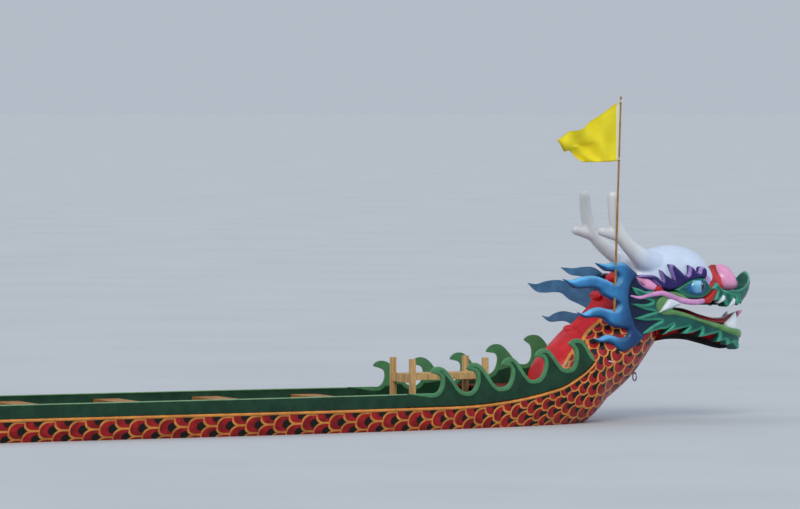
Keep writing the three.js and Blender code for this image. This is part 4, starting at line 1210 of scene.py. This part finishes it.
def head_carvings():
    def teal(name, tint=TEAL, width=0.022):
        return rimmed(name, tint, TEAL_LIGHT, width, soft=0.9)

    carving("mane_locks", MANE_SIDE, MANE, 0.31, mane_paint(), (0.0, 0.045, 0.045, 0.012, 0.01),
            ["mane"], port_drop=MANE_PORT_DROP)
    carving("cheek_ground", SKULL_SIDE, CHEEK_GROUND, 0.25, gloss("navy_gloss", NAVY),
            (0.0, 0.012, 0.02, 0.09, 0.01))
    carving("cheek_flames", JAW_SIDE, FLAMES, 0.26, teal("teal_flames"),
            (0.02, 0.026, 0.018, 0.075, 0.008), ["cheek"], 0.005, FLAMES_ROUND_FRONT, FLAMES_BELOW)
    green = rimmed("jaw_green", LIP_GREEN, MID_GREEN, 0.008, soft=0.9)
    carving("jaw_band", JAW_SIDE, JAW_BAND, 0.28, green, (0.04, 0.024, 0.03, 0.05, 0.008),
            front=JAW_BAND_ROUND_FRONT, below=JAW_BAND_BELOW)
    carving("lids", SKULL_SIDE, LIDS, 0.25, teal("teal_lids", width=0.02),
            (0.0, 0.03, 0.03, 0.08, 0.008))
    carving("eye_hollow", SKULL_SIDE, EYE_HOLLOW, 0.25, gloss("eye_rim_blue", EYE_RIM),
            (0.02, 0.014, 0.01, 0.03, 0.007))
    # The lilac band on the aft- and upward-facing edges is a painted highlight
    purple = rimmed("purple_brow", PURPLE, LILAC, 0.016, (-1.0, 0.35), 0.6)
    carving("brow_flames", SKULL_SIDE, BROW, 0.27, purple, (0.006, 0.04, 0.03, 0.09, 0.008),
            ["brow"], 0.005)
    carving("ear", SKULL_SIDE, EAR, 0.28, rimmed("ear_pink", PINK, LILAC, 0.008),
            (0.004, 0.034, 0.045, 0.08, 0.008))
    for k, crease in enumerate(EAR_CREASES, 1):
        carving(f"ear_crease_{k}", SKULL_SIDE, crease, 0.28, gloss(f"crease_red_{k}", MOUTH_RED),
                (0.026, 0.01, 0.006, 0.01, 0.006), step=0.004)
    carving("ear_root", SKULL_SIDE, EAR_ROOT, 0.27, gloss("dark_head_red", NOSE_RED),
            (0.01, 0.034, 0.02, 0.08, 0.007))
    carving("muzzle_side", SKULL_SIDE, MUZZLE_RED, 0.18, gloss("muzzle_side_red", NOSE_RED, amount=0.3),
            (0.006, 0.022, 0.025, 0.03, 0.008), lean=(1.15, 1.05))
    carving("bridge", SKULL_SIDE, BRIDGE, 0.2, gloss("bridge_lilac", BRIDGE_LILAC),
            (0.008, 0.02, 0.022, 0.08, 0.007), lean=(1.15, 0.6))
    carving("mouth_corner", SKULL_SIDE, RED_STRIP, 0.26, gloss("corner_red", NOSE_RED),
            (0.018, 0.022, 0.02, 0.09, 0.007))
    carving("lip_flank", SKULL_SIDE, LIP_FLANK, 0.15, teal("teal_lip"),
            (0.022, 0.026, 0.022, 0.1, 0.007), step=0.005)
    carving("lip_front", SCOOP_SIDE, LIP_FRONT, 0.16, teal("teal_lip_front", SCOOP_GREEN, 0.02),
            (0.002, 0.02, 0.02, 0.03, 0.006), step=0.005)
    for name, points in (("tooth", SMALL_TOOTH), ("fang", SMALL_FANG)):
        carving(f"small_{name}", SKULL_SIDE, points, 0.16, gloss(f"{name}_white", TOOTH),
                (0.034, 0.028, 0.02, 0.05, 0.006))


EYE = (5.903, 0.258, 1.14)
EYE_RADII = (0.086, 0.052, 0.062)
PUPIL = (5.953, 1.144)
# Where the painted highlight sits on the eyeball
GLINT = (5.946, 1.166)


def eye_paint():
    """A light blue ball with a black pupil at its front and a small pale glint, a painted highlight."""
    paint = Paint("eyeball", coat=0.6)
    x, z = paint.axis("X"), paint.axis("Z")
    base = paint.mix(paint.step(x, 5.815, 5.9), colour(30, 92, 150), colour(104, 176, 212))
    base = paint.mix(paint.step(z, 1.13, 1.19), base, colour(140, 202, 226))
    pupil = paint.far(x - PUPIL[0], (z - PUPIL[1]) * 0.5)
    glint = paint.far(x - GLINT[0], z - GLINT[1])
    base = paint.mix(paint.step(pupil, 0.0235, 0.0215), base, colour(8, 8, 12))
    base = paint.mix(paint.step(glint, 0.0055, 0.0035), base, colour(230, 240, 245))
    return paint.finish(base, (0.1, 0.16), 20.0, 0.0)


def eyes_and_barbels():
    both("eyeball", ball(EYE, EYE_RADII), eye_paint(), ["eye"])
    rows = curve(BARBEL, 6)
    pink = gloss("barbel_pink", colour(206, 146, 196))
    both("barbel", tube(rows[:, :3], rows[:, 3], 16), pink)


# The fang inside the jaw's rim: its base and its tip
FANG = ((6.33, 0.082, 0.786), (6.384, 0.074, 0.912))
FANG_RADIUS = 0.068
FANG_BEND = 0.012


def tusks():
    white = gloss("tusk_white", TOOTH, (0.16, 0.26), 0.06)
    carving("tusk", JAW_SIDE, TUSK, 0.27, white,
            (0.048, 0.042, 0.034, 0.05, 0.007), step=0.005)
    base, tip = np.array(FANG)
    share = np.linspace(0, 1, 12)[:, None]
    path = base + (tip - base) * share - np.array([0, 0, FANG_BEND]) * np.sin(math.pi * share)
    radii = FANG_RADIUS * (1 - share[:, 0]) ** 0.75 + 0.002
    both("fang", tube(path, radii, 18, 0.7), white)


JAW = (
    (5.63, 0.672, 5.6, 0.88, 0.215, 0.55, 0.4),
    (5.76, 0.686, 5.76, 0.915, 0.205, 0.6, 0.4),
    (5.92, 0.68, 5.92, 0.868, 0.19, 0.6, 0.4),
    (6.06, 0.648, 6.06, 0.832, 0.176, 0.6, 0.4),
    (6.225, 0.604, 6.225, 0.785, 0.155, 0.6, 0.4),
    (6.31, 0.598, 6.31, 0.765, 0.12, 0.6, 0.4),
    (6.36, 0.61, 6.365, 0.74, 0.06, 0.55, 0.4),
)
TONGUE = (
    (5.65, 0.87, 5.65, 0.975, 0.1, 0.5, 0.5),
    (5.78, 0.88, 5.78, 0.962, 0.1, 0.5, 0.5),
    (5.92, 0.85, 5.92, 0.945, 0.105, 0.5, 0.5),
    (6.06, 0.815, 6.06, 0.898, 0.105, 0.5, 0.5),
    (6.2, 0.79, 6.195, 0.866, 0.095, 0.5, 0.5),
    (6.32, 0.792, 6.305, 0.868, 0.082, 0.5, 0.5),
    (6.4, 0.836, 6.38, 0.896, 0.062, 0.5, 0.5),
    (6.455, 0.88, 6.448, 0.918, 0.036, 0.5, 0.5),
    (6.486, 0.903, 6.48, 0.925, 0.014, 0.5, 0.5),
)
MUZZLE = (
    (6.1, 1.005, 6.09, 1.17, 0.142, 0.5, 0.6),
    (6.18, 1.01, 6.165, 1.232, 0.132, 0.5, 0.65),
    (6.268, 1.02, 6.235, 1.285, 0.112, 0.5, 0.65),
    (6.33, 1.05, 6.3, 1.27, 0.09, 0.5, 0.6),
)
ROOF = (
    (6.05, 0.975, 6.05, 1.03, 0.12, 0.5, 0.4),
    (6.2, 0.972, 6.2, 1.03, 0.11, 0.5, 0.4),
    (6.3, 0.968, 6.3, 1.02, 0.09, 0.5, 0.4),
)
NOSE = (
    (6.185, 1.15, 6.195, 1.27, 0.06, 0.45, 0.5),
    (6.205, 1.11, 6.215, 1.304, 0.11, 0.42, 0.5),
    (6.25, 1.086, 6.255, 1.32, 0.136, 0.4, 0.5),
    (6.31, 1.078, 6.308, 1.314, 0.146, 0.38, 0.5),
    (6.365, 1.084, 6.35, 1.288, 0.132, 0.38, 0.5),
    (6.402, 1.104, 6.38, 1.25, 0.098, 0.4, 0.5),
    (6.419, 1.13, 6.402, 1.208, 0.052, 0.45, 0.5),
)


def jaw_paint():
    """Dark red inside the mouth, crimson at the sides, nearly black below as painted shade under the jaw."""
    paint = Paint("jaw_core", specular=0.08)
    normal = paint.add("ShaderNodeNewGeometry").outputs["Normal"]
    up = paint.add("ShaderNodeSeparateXYZ", (0,), (normal,)).outputs[2]
    # Faces that point down are nearly black: painted shade
    base = paint.mix(paint.step(up, -0.85, -0.7), paint.brushed(MOUTH_DARK), paint.brushed(SCALE_RED))
    base = paint.mix(paint.step(up, 0.3, 0.6), base, paint.brushed(MOUTH_RED))
    return paint.finish(base, (0.75, 0.9))


def tongue_paint():
    """Dark red with a pink tip."""
    paint = Paint("tongue_red", coat=0.4)
    tip = paint.step(paint.axis("X"), 6.4, 6.47)
    base = paint.mix(tip, paint.brushed(MOUTH_RED, 0.2), paint.brushed(PINK))
    return paint.finish(base, (0.18, 0.3))


NOSTRIL = (6.392, 0.092, 1.196)


def nose_paint():
    """Pink bulb, with red where it grows out of the muzzle and dark nostrils."""
    paint = Paint("nose_pink", coat=0.4)
    x, y, z = (paint.axis(a) for a in "XYZ")
    away = paint.far(x - NOSTRIL[0], abs(y) - NOSTRIL[1], z - NOSTRIL[2])
    base = paint.mix(paint.step(x, 6.205, 6.195), paint.brushed(PINK, 0.08), paint.brushed(NOSE_RED))
    base = paint.mix(paint.step(away, 0.034, 0.022), base, MOUTH_DARK)
    return paint.finish(base, (0.18, 0.3))


def roof_paint():
    """Dull and nearly black: painted shade inside the mouth."""
    paint = Paint("roof_dark", specular=0.04)
    return paint.finish(paint.brushed(MOUTH_DARK), (0.8, 0.95))


def mouth():
    make("jaw_core", egg_body(JAW, 26), jaw_paint(), ["lower_jaw", "beard"])
    make("tongue", egg_body(TONGUE, 22), tongue_paint())
    make("muzzle_core", egg_body(MUZZLE, 26), gloss("muzzle_dark_red", NOSE_RED), ["muzzle"])
    make("mouth_roof", egg_body(ROOF, 20), roof_paint())
    make("nose_bulb", egg_body(NOSE), nose_paint())


SCOOP_MIDDLE = 6.315
SCOOP_THICK = 0.022
# Height and radius of the upper lip's scoop, from the bottom to the top of its front
SCOOP_RADII = (
    (0.955, 0.13), (1.0, 0.16), (1.05, 0.194), (1.1, 0.216), (1.16, 0.228), (1.21, 0.222), (1.258, 0.202),
)
# Rim height by the angle from dead ahead, in degrees
SCOOP_RIM = ((0, 1.258), (12, 1.252), (26, 1.228), (42, 1.18), (58, 1.135), (80, 1.106), (112, 1.096))


def scoop_paint():
    """Teal, lighter towards the rim, with painted shade inside the cup that darkens lower down."""
    paint = Paint("scoop_teal", coat=0.25)
    edge = paint.value("edge")
    base = paint.mix(paint.step(edge, 0.06, 0.004), paint.brushed(SCOOP_GREEN), paint.brushed(TEAL_LIGHT))
    # Painted shade inside the cup, deeper lower down
    high, low = paint.brushed(colour(34, 112, 94)), paint.brushed(colour(16, 62, 62))
    hollow = paint.mix(paint.step(paint.axis("Z"), 1.2, 1.04), high, low)
    return paint.finish(paint.mix(paint.value("hollow") * paint.step(edge, 0.006, 0.02), base, hollow))


def scoop():
    """The upper lip's front, cupped up before the nose, with lobes along its lower edge."""
    degrees = np.linspace(-112, 112, 97)[:, None]
    shares = np.linspace(0, 1, 22)
    lobes = 0.972 + 0.028 * np.abs(np.sin(np.radians(degrees * 3.6 + 90))) ** 0.8
    z = lobes + (np.interp(np.abs(degrees), *zip(*SCOOP_RIM)) - lobes) * shares
    radius = np.interp(z, *zip(*SCOOP_RADII))
    thick = np.sqrt(np.clip(1 - np.abs(2 * shares - 1) ** 10, 0, 1)) * SCOOP_THICK
    ahead, aside = np.cos(np.radians(degrees)), np.sin(np.radians(degrees)) * 0.9
    outer, inner = (np.stack([SCOOP_MIDDLE + r * ahead, r * aside, z], 2) for r in (radius, radius - thick))
    gap = np.minimum(shares, 1 - shares) * 0.25
    edge = np.append(gap, gap[-2:0:-1])
    # hollow marks the inner faces, which take the painted shade
    values = {"edge": np.tile(edge, len(z)), "hollow": np.tile(np.arange(len(edge)) >= len(shares), len(z))}
    rings = np.concatenate([outer, inner[:, -2:0:-1]], 1)
    make("lip_scoop", skin(rings), scoop_paint(), ["upper_lip"], values)


# Red block that carries the neck on the foredeck: x, top, half width
HEEL = (
    (4.51, 0.385, 0.165), (4.535, 0.5, 0.205), (4.575, 0.58, 0.235), (4.64, 0.645, 0.255),
    (4.75, 0.735, 0.275), (4.8697, 0.849, 0.3),
)
DECK_TOP = 0.322
# Ridges up the neck's front: x, z, slope in degrees
RIDGES = ((4.828, 0.785, 40), (5.082, 1.066, 58), (5.232, 1.215, 66))
RIDGE_RADII = (0.044, 0.09, 0.041)
# From here forward the block spreads into the neck's first section, up to this half width
HEEL_SPREAD_START = 4.62
HEEL_LIMIT = 0.372


def first_neck_half(z):
    """Half width of the neck's first section at a height."""
    low, high = NECK[0][1], NECK[0][3]
    return egg_width(np.clip((z - low) / (high - low), 0, 1), *NECK[0][4:7], NECK_BACK)


def heel(scales):
    """The block at the neck's foot, spreading into the hull, and the ridges up the neck's front."""
    turns = np.linspace(0, math.pi, 41)
    rings = []
    for x, top, half in curve(HEEL, 10):
        high = DECK_TOP + (top - DECK_TOP) * (0.2 + 0.8 * np.sin(turns) ** 0.85)
        share = np.clip((x - HEEL_SPREAD_START) / (END_X - HEEL_SPREAD_START), 0, 1) ** 2
        own = half * np.abs(np.cos(turns)) ** 1.25
        wide = own + (np.minimum(first_neck_half(high), HEEL_LIMIT) - own) * share
        wide[len(wide) // 2] = 0
        y, z = np.pad(-np.sign(np.cos(turns)) * wide, 1, "edge"), np.pad(high, 1, constant_values=DECK_TOP)
        rings.append(np.stack([np.full(len(y), x), y, z], 1))
    parts = [skin(rings)]
    for x, z, slope in RIDGES:
        points, faces = ball((0, 0, 0), RIDGE_RADII)
        c, s = math.cos(math.radians(slope)), math.sin(math.radians(slope))
        parts.append((points @ [[c, 0, s], [0, 1, 0], [-s, 0, c]] + (x, 0, z), faces))
    points, faces = joined(parts)
    x, y, z = points.T
    values = scale_values(x, z, ROLL_HEIGHT - z)
    values["border"] = np.where(np.abs(y) > 0.14, border_distance(x, z), -FAR_FROM_BORDER)
    make("neck_heel_block", (points, faces), scales, ["neck_heel"], values)


TAIL_FIN = (
    (-5.4, 0.91, 1), (-5.47, 1.08), (-5.56, 1.15, 1), (-5.61, 1.12), (-5.64, 1.11), (-5.68, 1.25),
    (-5.76, 1.37, 1), (-5.81, 1.32), (-5.85, 1.3), (-5.9, 1.45), (-6.0, 1.58, 1), (-6.04, 1.52),
    (-6.08, 1.49), (-6.14, 1.63), (-6.24, 1.735, 1), (-6.262, 1.65), (-6.3, 1.58), (-6.35, 1.575),
    (-6.415, 1.56, 1), (-6.37, 1.51), (-6.262, 1.435), (-6.15, 1.37), (-5.95, 1.2), (-5.7, 1.01),
    (-5.48, 0.86),
)


def tail_fin():
    """The flame-shaped board that stands on the tail, carved on both sides."""
    def place(x, z, high):
        return np.stack([x, np.maximum(high, 0.0), z], 1)

    (points, faces), facts = relief(outline(TAIL_FIN, 0.009), rounded(0.015, 0.03), place, 0.0, 0.014)
    body = joined([(points * (1, side, 1), faces) for side in (-1, 1)])
    values = {key: np.tile(numbers, 2) for key, numbers in facts.items()}
    # The lighter band on the upward-facing edges is a painted highlight
    paint = rimmed("fin_blue", MANE_BLUE, MANE_HIGHLIGHT, 0.02, (0.3, 1.0))
    make("tail_flames", body, paint, ["tail_fin"], values)


def steel_paint():
    """Dull grey metal."""
    paint = Paint("dull_steel", metallic=1.0)
    return paint.finish(paint.brushed(colour(150, 152, 156), 0.2, 60.0), (0.3, 0.5), 120.0)


POLE_FOOT = (5.085, -0.3304, 0.9)
POLE_LEAN = 0.062 / 1.85
POLE_TOP = 2.75


def pole_place(z):
    return POLE_FOOT[0] + (z - POLE_FOOT[2]) * POLE_LEAN


CLEAT = ((5.028, 0.529), (5.055, 0.523), (5.08, 0.519))


def cleat():
    """A small pale cleat on the starboard side of the neck."""
    path = [(x, -neck_half(x, z) - 0.01, z) for x, z in curve(CLEAT, 6)]
    x, y, z = path[6]
    foot = tube([(x, y + d, z) for d in (0.0, 0.006, 0.012)], 0.005, 10, across=(1.0, 0.0, 0.0))
    make("neck_cleat", joined([tube(path, 0.004, 10), foot]), gloss("cleat_white", TOOTH))


def neck_half(x, z):
    """Half width of the neck's skin at a place."""
    _, halves = egg_skin(NECK, 44, 12, back=NECK_BACK)
    places, widths = (np.concatenate(part) for part in zip(*halves))
    return widths[np.argmin(np.hypot(places[:, 0] - x, places[:, 1] - z))]


POLE_RADIUS = 0.0105
POLE_TAPER = 0.0035
KNOT_STEP = 0.215
KNOT_RISE = 0.0014


def flag_pole():
    """A thin bamboo with knots, lashed to the mane."""
    z = np.linspace(POLE_FOOT[2], POLE_TOP, 150)
    knots = np.arange(1.02, POLE_TOP, KNOT_STEP)
    radii = POLE_RADIUS - POLE_TAPER * (z - POLE_FOOT[2]) / (POLE_TOP - POLE_FOOT[2])
    radii += KNOT_RISE * np.exp(-((z[:, None] - knots) / 0.007) ** 2).sum(1)
    path = np.stack([pole_place(z), np.full(len(z), POLE_FOOT[1]), z], 1)
    paint = Paint("bamboo_cane")
    streaks = paint.step(paint.noise(30.0, 4.0, (8.0, 8.0, 0.5)), 0.35, 0.65)
    base = paint.mix(streaks, BAMBOO, colour(176, 130, 70))
    make("flag_cane", tube(path, radii), paint.finish(base, (0.35, 0.55)), ["flag_pole"])


FLAG_TOP = (
    (5.142, 2.706), (5.085, 2.69), (4.987, 2.628), (4.873, 2.548), (4.792, 2.49), (4.712, 2.47),
    (4.631, 2.46), (4.52, 2.388),
)
FLAG_BOTTOM = ((5.128, 2.212), (5.04, 2.206), (4.955, 2.205), (4.86, 2.204), (4.77, 2.206))
FLAG_END = ((4.77, 2.206), (4.716, 2.246), (4.662, 2.3), (4.59, 2.298), (4.52, 2.388))


def spaced(points, count):
    """A number of evenly spaced places on a smooth line."""
    path = even(curve(points, 12), 0.002)
    at = np.linspace(0, len(path) - 1, count)
    return np.stack([np.interp(at, range(len(path)), path[:, k]) for k in (0, 1)], 1)


WEAVE = 1900.0


def flag_paint():
    """Thin yellow cloth with a fine weave, a pale sleeve along the pole and a stitched hem."""
    paint = Paint("flag_yellow", specular=0.2)
    fly, hoist = paint.value("fly"), paint.value("hoist")
    base = paint.mix(paint.step(paint.noise(7.0), 0.35, 0.65), colour(232, 214, 40), FLAG_YELLOW)
    base = paint.mix(paint.step(fly, 0.062, 0.055), base, colour(222, 222, 196))
    rim = paint.math("MINIMUM", paint.math("MINIMUM", hoist, 1.0 - hoist), 1.0 - fly)
    base = paint.mix(paint.step(rim, 0.03, 0.026) * 0.5, base, colour(196, 168, 20))
    paint.bump(paint.math("SINE", fly * WEAVE) * paint.math("SINE", hoist * WEAVE), 0.15, 0.0006)
    return paint.finish(base, (0.7, 0.85))


TIE_RADIUS = 0.014


def flag():
    """The cloth between its four traced edges, waving in the wind, and its two ties."""
    rows, cols = 44, 56
    top, bottom, end = spaced(FLAG_TOP, cols), spaced(FLAG_BOTTOM, cols), spaced(FLAG_END, rows)
    luff = spaced((FLAG_BOTTOM[0], (5.134, 2.46), FLAG_TOP[0]), rows)
    u, v = np.linspace(0, 1, cols)[:, None], np.linspace(0, 1, rows)[:, None, None]
    flat = (1 - v) * bottom + v * top + (1 - u) * luff[:, None] + u * end[:, None]
    flat -= (1 - u) * ((1 - v) * luff[0] + v * luff[-1]) + u * ((1 - v) * bottom[-1] + v * top[-1])
    u, v = np.broadcast_arrays(u[:, 0], v[..., 0])
    ripple = 0.05 * np.sin(9.0 * u + 3.2 * v + 0.4) + 0.022 * np.sin(17.0 * u - 6.0 * v)
    y = POLE_FOOT[1] + u**0.8 * ripple + 0.03 * u * np.sin(5.0 * v)
    points = np.stack([flat[..., 0], y, flat[..., 1]], 2).reshape(-1, 3)
    at = np.arange(rows * cols).reshape(rows, cols)
    faces = np.stack([at[:-1, :-1], at[:-1, 1:], at[1:, 1:], at[1:, :-1]], -1).reshape(-1, 4)
    values = {"fly": u.ravel(), "hoist": v.ravel()}
    piece = make("flag_sheet", (points, faces), flag_paint(), ["flag"], values, 180)
    solid = piece.modifiers.new("cloth", "SOLIDIFY")
    solid.thickness, solid.offset = 0.0012, 0.0
    ties = []
    t = np.linspace(0, 4 * math.pi, 50)
    for z in (2.216, 2.7):
        x, y = pole_place(z) + TIE_RADIUS * np.cos(t), POLE_FOOT[1] + TIE_RADIUS * np.sin(t)
        ties.append(tube(np.stack([x, y, z + 0.002 * t], 1), 0.0028, 8))
    make("flag_ties", joined(ties), gloss("tie_white", colour(228, 228, 220), (0.6, 0.8)))


camera()
lights()
stage_floor()

scales = scaled_paint()
deck = wood("painted_planks", DECK_RED)
green = rimmed("green_boards", DARK_GREEN, MID_GREEN, 0.034, soft=0.15)
# A paler green along the strake's rounded top edge
strake_green = rimmed("green_strakes", DARK_GREEN, PALE_EDGE_GREEN, 0.008)
hull_skin(scales, deck)
ribs(wood("rib_wood", WOOD, "y"))
rub_rails(gloss("gold_gloss", GOLD))
strakes(strake_green)
wave_boards(green)
trunk("scaled_neck", NECK, scales, "neck", NECK_BACK)
trunk("scaled_tail", TAIL, scales, "tail", border=False)

oiled = wood("oiled_boards", WOOD, "y")
refinish([f"thwart_{i}" for i in range(1, 9)], oiled)
refinish(["floorboards", "seat_riser_port", "seat_riser_starboard"], wood("oiled_planks", WOOD))
refinish(["drum_stand"], wood("pale_battens", PALE_WOOD, "z"))
refinish(["keel", "foredeck", "afterdeck"], deck)

skull_and_horns()
head_carvings()
eyes_and_barbels()
tusks()
mouth()
scoop()
heel(scales)
cleat()
tail_fin()
flag_pole()
flag()
refinish(["oar_bracket", "oar_crutch", "mooring_ring"], steel_paint())
refinish(["steering_oar"], wood("oar_wood", PALE_WOOD))
